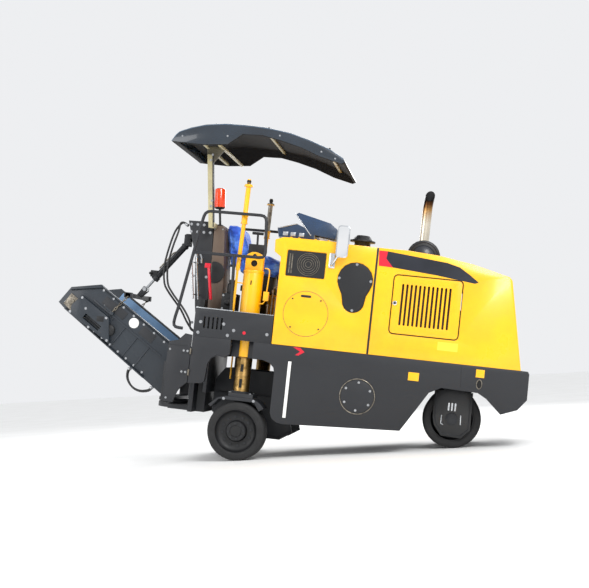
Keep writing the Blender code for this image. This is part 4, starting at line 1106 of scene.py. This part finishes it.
bolts("mast_bolts", [(-0.655, -0.446, 2.74), (-0.640, -0.446, 2.80), (-0.600, -0.446, 2.25),
                     (-0.594, -0.446, 2.31)], (0, -1, 0), 0.009)
# A near-black strip down the cream post's right face: painted shade on the post's shaded side.
edge = bmesh.new()
plate(edge, [(-0.556, 2.03), (-0.544, 2.03), (-0.633, 2.79), (-0.645, 2.79)], -0.446, -0.3945)
keep("mast_shaded_side", edge, "anthracite_enamel")
print("canopy crest points:", len(CREST))

# %% [markdown]
# The beacon is a moulded polycarbonate lens on a black base. Two turned pieces replace the plain
# CAD cylinder: the lens has a slight draft and a domed top, as a part pulled from a mould does.

# %% Beacon
lens_foot, lens_top = Vector((-0.5455, -0.235, 2.268)), Vector((-0.562, -0.235, 2.475))
lens_axis = lens_top - lens_foot
tall = lens_axis.length
lens = bmesh.new()
turned(lens,
       [(0, 0.0600), (0.012, 0.0600), (tall - 0.022, 0.057), (tall - 0.010, 0.053),
        (tall - 0.003, 0.040), (tall, 0.006)], lens_foot, lens_axis, 36)
piece = keep("beacon_lens_shell", lens, "orange_lens")
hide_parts("beacon")
base = bmesh.new()
turned(base, [(-0.020, 0.030), (-0.016, 0.046), (0.0, 0.0580), (0.004, 0.0580)], lens_foot,
       lens_axis, 36)
tube(base, [(-0.520, -0.235, 2.075), (-0.5445, -0.235, 2.26)], 0.013, 12)
box(base, -0.552, -0.490, -0.265, -0.205, 2.0668, 2.080)
keep("beacon_base", base, "black_plastic")

# %% [markdown]
# The conveyor is drawn along its own slope: u runs up from its foot, n square to it. Both walls get
# folded flanges, a guard panel and bolts; the belt's rubber cleats come from a tree that repeats
# one bar up the slope.

# %% Conveyor plates
FOOT = (-0.86, 0.50)
RISE = math.radians(33.6)


def along(u, n):
    return (FOOT[0] - u * math.cos(RISE) + n * math.sin(RISE),
            FOOT[1] + u * math.sin(RISE) + n * math.cos(RISE))


def slope(pairs):
    return [along(u, n) for u, n in pairs]


def on_slope(u, y, n):
    x, z = along(u, n)
    return (x, y, z)


for s, side in SIDES:
    flanges = bmesh.new()
    for outline, reach in (([(0.15, -0.277), (1.30, -0.2625), (1.30, -0.2495), (0.15, -0.264)],
                            0.024),
                           ([(0.15, 0.198), (1.12, 0.184), (1.12, 0.196), (0.15, 0.210)], 0.020),
                           ([(1.12, 0.196), (1.388, -0.050), (1.380, -0.062), (1.112, 0.184)],
                            0.020),
                           ([(0.15, 0.020), (1.10, 0.008), (1.10, 0.024), (0.15, 0.036)], 0.010)):
        plate(flanges, slope(outline), *sorted((s * 0.3995, s * (0.400 + reach))))
    for u in (0.30, 0.47, 0.64, 0.81):
        plate(flanges, slope([(u, -0.245), (u, 0.015), (u + 0.012, 0.015), (u + 0.012, -0.245)]),
              *sorted((s * 0.3995, s * 0.413)))
    keep("conveyor_flanges_" + side, flanges, "conveyor_enamel", "conveyor", soft=0.001)
    # A pale blue strip on each wall's inner face: painted reflection of the sky.
    sky_strip = bmesh.new()
    plate(sky_strip, slope([(0.16, 0.06), (1.10, 0.05), (1.10, 0.175), (0.16, 0.19)]),
          *sorted((s * 0.3735, s * 0.3745)))
    keep("wall_sky_reflection_" + side, sky_strip, "sky_reflection_blue", "conveyor")
    edge_bolts = [on_slope(0.20 + 0.115 * i, s * 0.401, -0.238) for i in range(9)]
    edge_bolts += [on_slope(0.22 + 0.145 * i, s * 0.401, 0.165) for i in range(7)]
    edge_bolts += [on_slope(1.30, s * 0.401, -0.10), on_slope(1.34, s * 0.401, -0.20),
                   on_slope(0.98, s * 0.401, 0.06)]
    bolts("conveyor_bolts_" + side, edge_bolts, (0, s, 0), 0.009, "zinc_bolt", "conveyor")
tension = bmesh.new()
for s, _ in SIDES:
    plate(tension, slope([(1.195, -0.235), (1.195, -0.085), (1.345, -0.085), (1.345, -0.225)]),
          *sorted((s * 0.4005, s * 0.412)))
    turned(tension, [(0, 0.034), (0.022, 0.034), (0.026, 0.020)],
           on_slope(1.285, s * 0.410, -0.155), (0, s, 0), 24)
    tube(tension, [on_slope(1.20, s * 0.418, -0.20), on_slope(1.06, s * 0.418, -0.20)], 0.009, 10)
turned(tension, [(-0.3595, 0.030), (-0.3595, 0.058), (0.3595, 0.058), (0.3595, 0.030)],
       on_slope(1.300, 0, -0.1955), (0, 1, 0), 32)
keep("belt_tensioners", tension, "worn_steel", "conveyor", soft=0.001)
motor = bmesh.new()
turned(motor, [(0, 0.060), (0.012, 0.062), (0.045, 0.062), (0.055, 0.045), (0.060, 0.012)],
       on_slope(0.760, -0.402, -0.120), (0, -1, 0), 32)
box(motor, -1.700, -1.620, -0.452, -0.4705, 0.900, 0.960)
for n in (-0.205, -0.180, -0.155):
    plate(motor,
          slope([(0.86, n - 0.006), (1.04, n - 0.006), (1.04, n + 0.006), (0.86, n + 0.006)]),
          -0.404, -0.412)
keep("belt_motor", motor, "black_plastic", "conveyor", soft=0.001)
sign = bmesh.new()
turned(sign, [(0, 0.055), (0.0025, 0.055)], on_slope(0.605, -0.4003, 0.108), (0, -1, 0), 40)
keep("blank_round_sign", sign, "white_enamel", "conveyor")
hatch = bmesh.new()
plate(hatch, slope([(0.32, 0.060), (0.50, 0.057), (0.50, 0.155), (0.32, 0.158)]), -0.4005, -0.406)
plate(hatch, slope([(0.72, 0.055), (1.02, 0.050), (1.02, 0.140), (0.72, 0.145)]), -0.4005, -0.406)
keep("conveyor_hatches", hatch, "anthracite_enamel", "conveyor", soft=0.001)
bolts("motor_bolts",
      [on_slope(u, -0.4705, n) for u, n in ((0.70, -0.215), (0.86, -0.035), (1.205, -0.035),
                                            (1.215, -0.235), (0.95, -0.235), (1.10, -0.10))],
      (0, -1, 0), 0.010, "zinc_bolt", "conveyor")
print("conveyor plates made on both walls")

# %% Belt cleats
group, start, end = tree_with_inputs("belt_cleats", [
    ("Count", "NodeSocketInt", 12), ("Step", "NodeSocketVector", (0.1, 0, 0)),
    ("Bar Size", "NodeSocketVector", (0.012, 0.6, 0.014)), ("Tilt", "NodeSocketFloat", 0.0)])
line = node(group, "GeometryNodeMeshLine", {"mode": "OFFSET"}, {
    "Count": start.outputs["Count"], "Offset": start.outputs["Step"]})
first = node(group, "GeometryNodeInputPosition")
corner = node(group, "GeometryNodeSampleIndex", {"data_type": "FLOAT_VECTOR"}, {
    "Geometry": start.outputs["Geometry"], "Value": first.outputs["Position"]})
moved = node(group, "GeometryNodeSetPosition", links={
    "Geometry": line.outputs["Mesh"], "Offset": corner.outputs["Value"]})
bar = node(group, "GeometryNodeMeshCube", links={"Size": start.outputs["Bar Size"]})
lean = node(group, "ShaderNodeCombineXYZ", links={"Y": start.outputs["Tilt"]})
placed = node(group, "GeometryNodeInstanceOnPoints", links={
    "Points": moved.outputs["Geometry"], "Instance": bar.outputs["Mesh"],
    "Rotation": lean.outputs["Vector"]})
close_tree(group, end, placed.outputs["Instances"], "belt_rubber")
low_end, high_end = LEVEL @ Vector(on_slope(0.20, 0, -0.112)), LEVEL @ Vector(on_slope(1.30, 0,
                                                                                       -0.112))
mesh = bpy.data.meshes.new("belt_cleats")
mesh.from_pydata([low_end], [], [])
grow("belt_cleats", mesh, group, "belt_rubber", "conveyor", {
    "Count": 12, "Step": tuple((high_end - low_end) / 11), "Bar Size": (0.014, 0.66, 0.014),
    "Tilt": RISE + PITCH})
print("cleats: 12")

# %% [markdown]
# Two short chains carry the conveyor's head from the spreader bar. A tree resamples a line at the
# links' pitch and gives every second link a quarter turn, which is what makes a row of rings read
# as a chain.

# %% Chains and spreader
group, start, end = tree_with_inputs("chain", [
    ("Pitch", "NodeSocketFloat", 0.030), ("Wire Radius", "NodeSocketFloat", 0.004)])
strand = node(group, "GeometryNodeMeshToCurve", links={"Mesh": start.outputs["Geometry"]})
spots = node(group, "GeometryNodeResampleCurve", {"mode": "LENGTH"}, {
    "Curve": strand.outputs["Curve"], "Length": start.outputs["Pitch"]})
loop = node(group, "GeometryNodeCurvePrimitiveCircle", values={"Resolution": 14, "Radius": 0.5})
half_pitch = node(group, "ShaderNodeMath", {"operation": "MULTIPLY"}, {0: start.outputs["Pitch"]},
                  {1: 0.62})
long_way = node(group, "ShaderNodeMath", {"operation": "MULTIPLY"}, {0: start.outputs["Pitch"]},
                {1: 1.42})
shape = node(group, "ShaderNodeCombineXYZ",
             links={"X": half_pitch.outputs[0], "Y": half_pitch.outputs[0]})
group.links.new(long_way.outputs[0], shape.inputs["X"])
oval = node(group, "GeometryNodeTransform", links={
    "Geometry": loop.outputs["Curve"], "Scale": shape.outputs["Vector"]})
wire = node(group, "GeometryNodeCurvePrimitiveCircle",
            links={"Radius": start.outputs["Wire Radius"]}, values={"Resolution": 6})
link_mesh = node(group, "GeometryNodeCurveToMesh", links={
    "Curve": oval.outputs["Geometry"], "Profile Curve": wire.outputs["Curve"]})
tangent = node(group, "GeometryNodeInputTangent")
aim = node(group, "FunctionNodeAlignRotationToVector", {"axis": "X"},
           {"Vector": tangent.outputs["Tangent"]})
count = node(group, "GeometryNodeInputIndex")
odd = node(group, "ShaderNodeMath", {"operation": "MULTIPLY"}, {0: count.outputs["Index"]},
           {1: math.pi / 2})
quarter = node(group, "ShaderNodeCombineXYZ", links={"X": odd.outputs[0]})
spun_by = node(group, "FunctionNodeRotateRotation", {"rotation_space": "LOCAL"}, {
    "Rotation": aim.outputs["Rotation"], "Rotate By": quarter.outputs["Vector"]})
placed = node(group, "GeometryNodeInstanceOnPoints", links={
    "Points": spots.outputs["Curve"], "Instance": link_mesh.outputs["Mesh"],
    "Rotation": spun_by.outputs["Rotation"]})
close_tree(group, end, placed.outputs["Instances"], "worn_steel")
mesh = bpy.data.meshes.new("head_chains")
ends = [LEVEL @ Vector(p) for s in (-1, 1) for p in ((-1.402, s * 0.418, 1.196),
                                                     (-1.540, s * 0.420, 1.030))]
mesh.from_pydata(ends, [(0, 1), (2, 3)], [])
grow("head_chains", mesh, group, "worn_steel", "conveyor", {"Pitch": 0.034, "Wire Radius": 0.0045})
bar = bmesh.new()
box(bar, -1.428, -1.370, -0.43, 0.43, 1.196, 1.240)
for s in (-1, 1):
    plate(bar, [(-1.425, 1.21), (-1.375, 1.21), (-1.298, 1.29), (-1.298, 1.33), (-1.335, 1.345)],
          *sorted((s * 0.036, s * 0.052)))
    box(bar, -1.440, -1.358, *sorted((s * 0.375, s * 0.430)), 1.190, 1.246)
    tube(bar, [(-1.400 + 0.016 * math.cos(a), s * 0.418, 1.200 + 0.016 * math.sin(a))
               for a in [math.tau * i / 16 for i in range(16)]], 0.005, 8, True)
piece = keep("spreader_beam", bar, "anthracite_enamel", "conveyor", soft=0.002)
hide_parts("spreader_bar")
bolts("spreader_pins", [(-1.325, -0.051, 1.312)], (0, -1, 0), 0.016, "zinc_bolt", "conveyor", 0.012)

# %% [markdown]
# The lift cylinder has a welded gland, a valve block with a lamp on its back and two short pipes.
# They are small, but they break up the long dark tube, which is how a real hydraulic cylinder reads
# from afar.

# %% Lift cylinder
TOP, EYE = Vector((-0.905, 0.0, 1.865)), Vector((-1.325, 0.0, 1.312))
WAY = (EYE - TOP).normalized()
gland = bmesh.new()
turned(gland, [(0.500, 0.036), (0.500, 0.043), (0.548, 0.043), (0.552, 0.036)], TOP, WAY, 28)
turned(gland, [(0.035, 0.037), (0.035, 0.042), (0.060, 0.042), (0.060, 0.037)], TOP, WAY, 28)
side_way = Vector((0, -1, 0))
for low_reach, high_reach, offset in ((0.09, 0.50, -0.047), (0.12, 0.40, -0.058)):
    tube(gland,
         [TOP + WAY * low_reach + side_way * 0.038,
          TOP + WAY * (low_reach + 0.03) - side_way * offset,
          TOP + WAY * (high_reach - 0.03) - side_way * offset,
          TOP + WAY * high_reach + side_way * 0.038],
         0.007, 8)
keep("cylinder_pipes", gland, "anthracite_enamel", "cylinder_barrel", soft=0.001)
block = bmesh.new()
spot = TOP + WAY * 0.462 + Vector((-0.042, 0, -0.034))
box(block, spot.x - 0.055, spot.x + 0.022, -0.035, 0.035, spot.z - 0.005, spot.z + 0.066)
turned(block, [(0, 0.016), (0.030, 0.016), (0.036, 0.008)], (spot.x - 0.050, -0.03, spot.z + 0.030),
       (0, -1, 0), 20)
keep("cylinder_valve", block, "black_plastic", "cylinder_barrel", soft=0.001)
silver = bmesh.new()
across = Vector((WAY.z, 0, -WAY.x)).normalized() * 0.046
tube(silver,
     [TOP + WAY * 0.16 + across * 0.7, TOP + WAY * 0.19 + across, TOP + WAY * 0.42 + across], 0.008,
     10)
keep("cylinder_return_pipe", silver, "worn_steel", "cylinder_barrel")
print("cylinder length at rest:", round((EYE - TOP).length, 3))

# %% [markdown]
# The front wheels turn in one-sided forks. The leg plate outside each tyre has a raised rim, three
# slots that let the hub's grease line through and two small clamps; they face the viewer, so they
# are modelled.

# %% Front forks
WHEELBASE = 2.153
LEG_PLATE = [(1.975, 0.560), (1.980, 0.305), (1.998, 0.238), (2.068, 0.142), (2.254, 0.134),
             (2.330, 0.213), (2.325, 0.560)]
for s, side in SIDES:
    body = "front_knuckle_" + side
    rim = bmesh.new()
    tube(rim, [(x, s * 0.541, z) for x, z in LEG_PLATE], 0.005, 8)
    turned(rim, [(0, 0.062), (0.010, 0.062), (0.016, 0.052), (0.016, 0.020)],
           (WHEELBASE, s * 0.540, 0.300), (0, s, 0), 32)
    keep("fork_rim_" + side, rim, "anthracite_enamel", body)
    marks = bmesh.new()
    for x in (2.113, 2.146, 2.179):
        plate(marks, round_box(x - 0.008, x + 0.008, 0.382, 0.462, 0.007),
              *sorted((s * 0.5395, s * 0.543)))
    tube(marks, [(2.048, s * 0.545, 0.330), (2.048, s * 0.545, 0.245), (2.075, s * 0.545, 0.232)],
         0.006, 8)
    tube(marks, [(2.242, s * 0.545, 0.345), (2.246, s * 0.545, 0.250)], 0.006, 8)
    keep("fork_marks_" + side, marks, "alloy_trim", body)
print("fork pieces on both sides")

# %% [markdown]
# The frame's flank carries a few more real parts: the rear side doors hang on two knuckle hinges
# each, a weld seam closes the bumper, and two round lamps sit in the engine end's plate, where such
# machines carry them.

# %% Hinges, seam and end lamps
for s, side in SIDES:
    hinge = bmesh.new()
    for z in (0.698, 0.482):
        turned(hinge, [(-0.030, 0.009), (0.030, 0.009)], (-0.5535, s * (HALF + 0.006), z),
               (0, 0, 1), 16)
    keep("door_knuckles_" + side, hinge, "worn_steel", "rear_side_door_" + side)
    leaf = bmesh.new()
    for z in (0.698, 0.482):
        box(leaf, -0.640, -0.5640, *sorted((s * HALF, s * (HALF + 0.004))), z - 0.024, z + 0.024)
    box(leaf, -0.780, -0.590, *sorted((s * HALF, s * (HALF + 0.003))), 0.745, 0.765)
    keep("door_leaves_" + side, leaf, "anthracite_enamel", "rear_side_door_" + side, soft=0.001)
    bolts("door_bolts_" + side,
          [(x, s * (HALF + 0.004), z) for x in (-0.625, -0.585) for z in (0.698, 0.482)]
          + [(-0.760, s * (HALF + 0.001), 0.200), (-0.770, s * (HALF + 0.001), 0.700)], (0, s, 0),
          0.008, "zinc_bolt", "rear_side_door_" + side)
    seam = bmesh.new()
    tube(seam, [(2.196, s * HALF, 0.850), (2.210, s * HALF, 0.625)], 0.0022, 6)
    tube(seam, [(-0.1484, s * HALF, 0.850), (-0.1484, s * HALF, 0.710)], 0.0022, 6)
    keep("weld_seam_" + side, seam, "anthracite_enamel")
lamps = bmesh.new()
glasses = bmesh.new()
for s, _ in SIDES:
    foot = Vector((2.7215, s * 0.62, 1.045))
    facing = Vector((0.983, 0, 0.187))
    turned(lamps, [(0, 0.075), (0.022, 0.075), (0.030, 0.068), (0.030, 0.060)], foot, facing, 36)
    turned(glasses, [(0.024, 0.060), (0.033, 0.056), (0.038, 0.030), (0.039, 0.004)], foot, facing,
           36)
keep("end_lamp_rings", lamps, "black_plastic")
keep("end_lamp_glass", glasses, "mirror_glass")
vents = bmesh.new()
for i in range(9):
    z = 1.22 + 0.045 * i
    x = 2.780 - (z - 0.862) * 0.1903
    box(vents, x - 0.012, x + 0.010, -0.42, 0.42, z - 0.008, z + 0.008)
keep("end_louvre", vents, "black_plastic", soft=0.002)
roof = bmesh.new()
turned(roof, [(0, 0.075), (0.018, 0.075), (0.030, 0.060), (0.032, 0.012)], (0.62, 0.35, 1.9605),
       (0, 0, 1), 36)
keep("roof_fittings", roof, "black_plastic")
print("end lamps: 2, louvre slats: 9")

# %% [markdown]
# The seat wears a loose blue cover over foam, gathered at its hem. A pad that is only scaled or
# bevelled looks carved, so each pad is inflated with a cloth simulation: its whole skin swells, no
# point further than a set cap, and shallow gathers are then pressed in.


# %% Seat cover
def soft_copy(name, shrink):
    """Closed, slightly smaller copy of a CAD pad, rebuilt in small even faces."""
    mesh = frame["nodes"][name].data.copy()
    bm = bmesh.new()
    bm.from_mesh(mesh)
    bmesh.ops.remove_doubles(bm, verts=bm.verts, dist=2e-5)
    middle = sum((v.co for v in bm.verts), Vector()) / len(bm.verts)
    for v in bm.verts:
        v.co = middle + (v.co - middle) * shrink
    bm.to_mesh(mesh)
    bm.free()
    pad = link(name + "_cover", mesh, "blue_cover_cloth")
    rounder = pad.modifiers.new("round", "BEVEL")
    rounder.width = 0.035
    rounder.segments = 4
    rounder.limit_method = "ANGLE"
    bake(pad)
    voxels = pad.modifiers.new("voxels", "REMESH")
    voxels.mode = "VOXEL"
    voxels.voxel_size = 0.006
    bake(pad)
    return pad


def inflate(pad, pressure, cap):
    before = [v.co.copy() for v in pad.data.vertices]
    cloth = pad.modifiers.new("cloth", "CLOTH")
    cloth.settings.use_pressure = True
    cloth.settings.uniform_pressure_force = pressure
    cloth.settings.effector_weights.gravity = 0
    cloth.settings.tension_stiffness = 12
    cloth.settings.compression_stiffness = 12
    scene = bpy.context.scene
    for number in range(1, 21):
        scene.frame_set(number)
    bake(pad)
    scene.frame_set(1)
    largest = 0.0
    for vertex, start_at in zip(pad.data.vertices, before):
        shift = vertex.co - start_at
        if shift.length > cap:
            shift = shift.normalized() * cap
        vertex.co = start_at + shift
        largest = max(largest, shift.length)
    return largest


def gather(pad, middle, lines):
    """Press the cover's gathers in: shallow folds across it."""
    for vertex in pad.data.vertices:
        place = BACK @ vertex.co
        wave = sum(depth * math.sin(way.dot(place) * math.tau / pitch + phase)
                   for way, pitch, depth, phase in lines)
        vertex.co += (vertex.co - middle).normalized() * wave


FOLDS = [(Vector((0.30, 0.95, 0.10)), 0.052, 0.0022, 0.4),
         (Vector((0.80, 0.15, 0.58)), 0.071, 0.0026, 1.7),
         (Vector((0.10, 0.60, -0.79)), 0.033, 0.0012, 3.1)]
for name in ("seat_cushion", "seat_back"):
    pad = soft_copy(name, 0.97)
    moved = inflate(pad, 4.0, 0.014)
    low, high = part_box(name)
    gather(pad, (low + high) / 2, FOLDS)
    finer = pad.modifiers.new("finer", "SUBSURF")
    finer.levels = 1
    finer.render_levels = 1
    bake(pad)
    pad.data.shade_smooth()
    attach(pad, "chassis")
    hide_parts(name)
    print(name, "moved at most", round(moved, 4), "faces", len(pad.data.polygons))

# %% [markdown]
# Hydraulic hoses hang in their own curves between two fittings. Each is a curve with a round
# profile along the frame's own route, its length along that path is printed, and its ferrules are
# turned steel.

# %% Hoses
HOSE_R = 0.011
TOWER_ROUTE = [(-0.8615, 2.035), (-0.905, 2.062), (-0.945, 2.050), (-1.000, 1.954), (-1.038, 1.770),
               (-1.066, 1.570), (-1.045, 1.390), (-0.990, 1.300), (-0.915, 1.215), (-0.830, 1.120),
               (-0.760, 1.010), (-0.700, 0.935), (-0.650, 0.905), (-0.6005, 0.900)]
LOOP_ROUTE = [(0.34, -0.2945), (0.33, -0.340), (0.28, -0.400), (0.19, -0.430), (0.10, -0.410),
              (0.03, -0.345), (0.02, -0.2945)]


def lay_hose(name, points, body):
    path = [LEVEL @ p for p in curve(points, 3)]
    line = bpy.data.curves.new(name + "_line", "CURVE")
    line.dimensions = "3D"
    line.bevel_depth = HOSE_R
    line.bevel_resolution = 3
    line.use_fill_caps = True
    spline = line.splines.new("POLY")
    spline.points.add(len(path) - 1)
    for spot, point in zip(spline.points, path):
        spot.co = (*point, 1.0)
    line.materials.append(FINISHES["hose_rubber"])
    hose = bpy.data.objects.new(name + "_line", line)
    bpy.context.scene.collection.objects.link(hose)
    length = sum((b - a).length for a, b in zip(path, path[1:]))
    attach(hose, body)
    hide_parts(name)
    return path, length


ferrules = bmesh.new()
for i in (0, 1):
    side_at = -0.255 - 0.030 * i
    inset = 0.045 * i
    route = [(x + inset * (1 if 1.0 < z < 2.0 else 0), side_at - 0.05 * min(1, (2.04 - z) * 4), z)
             for x, z in TOWER_ROUTE]
    path, length = lay_hose("tower_hose_%d" % (i + 1), route, "chassis")
    turned(ferrules, [(0.001, 0.0125), (0.001, 0.0165), (0.034, 0.0165), (0.036, 0.0125)], route[0],
           Vector(route[1]) - Vector(route[0]), 16)
    turned(ferrules, [(0.001, 0.0125), (0.001, 0.0165), (0.034, 0.0165), (0.036, 0.0125)],
           route[-1], Vector(route[-2]) - Vector(route[-1]), 16)
    print("tower hose", i + 1, round(length, 3))
keep("tower_ferrules", ferrules, "zinc_bolt")
ferrules = bmesh.new()
for i in (0, 1):
    y = -0.37 + 0.055 * i
    route = [on_slope(u, y, n - 0.012 * i) for u, n in LOOP_ROUTE]
    route[0], route[-1] = on_slope(0.34, y, -0.2945), on_slope(0.02, y, -0.2945)
    path, length = lay_hose("loop_hose_%d" % (i + 1), route, "conveyor")
    turned(ferrules, [(0.001, 0.0125), (0.001, 0.016), (0.022, 0.016), (0.022, 0.0125)], route[0],
           Vector(route[1]) - Vector(route[0]), 16)
    turned(ferrules, [(0.001, 0.0125), (0.001, 0.016), (0.022, 0.016), (0.022, 0.0125)], route[-1],
           Vector(route[-2]) - Vector(route[-1]), 16)
    print("loop hose", i + 1, round(length, 3))
keep("loop_ferrules", ferrules, "zinc_bolt", "conveyor")

# %% [markdown]
# The size of the finished model's box is printed.

# %% Sizes and finish
low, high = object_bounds()
print("visual box:", [round(v, 3) for v in high - low])
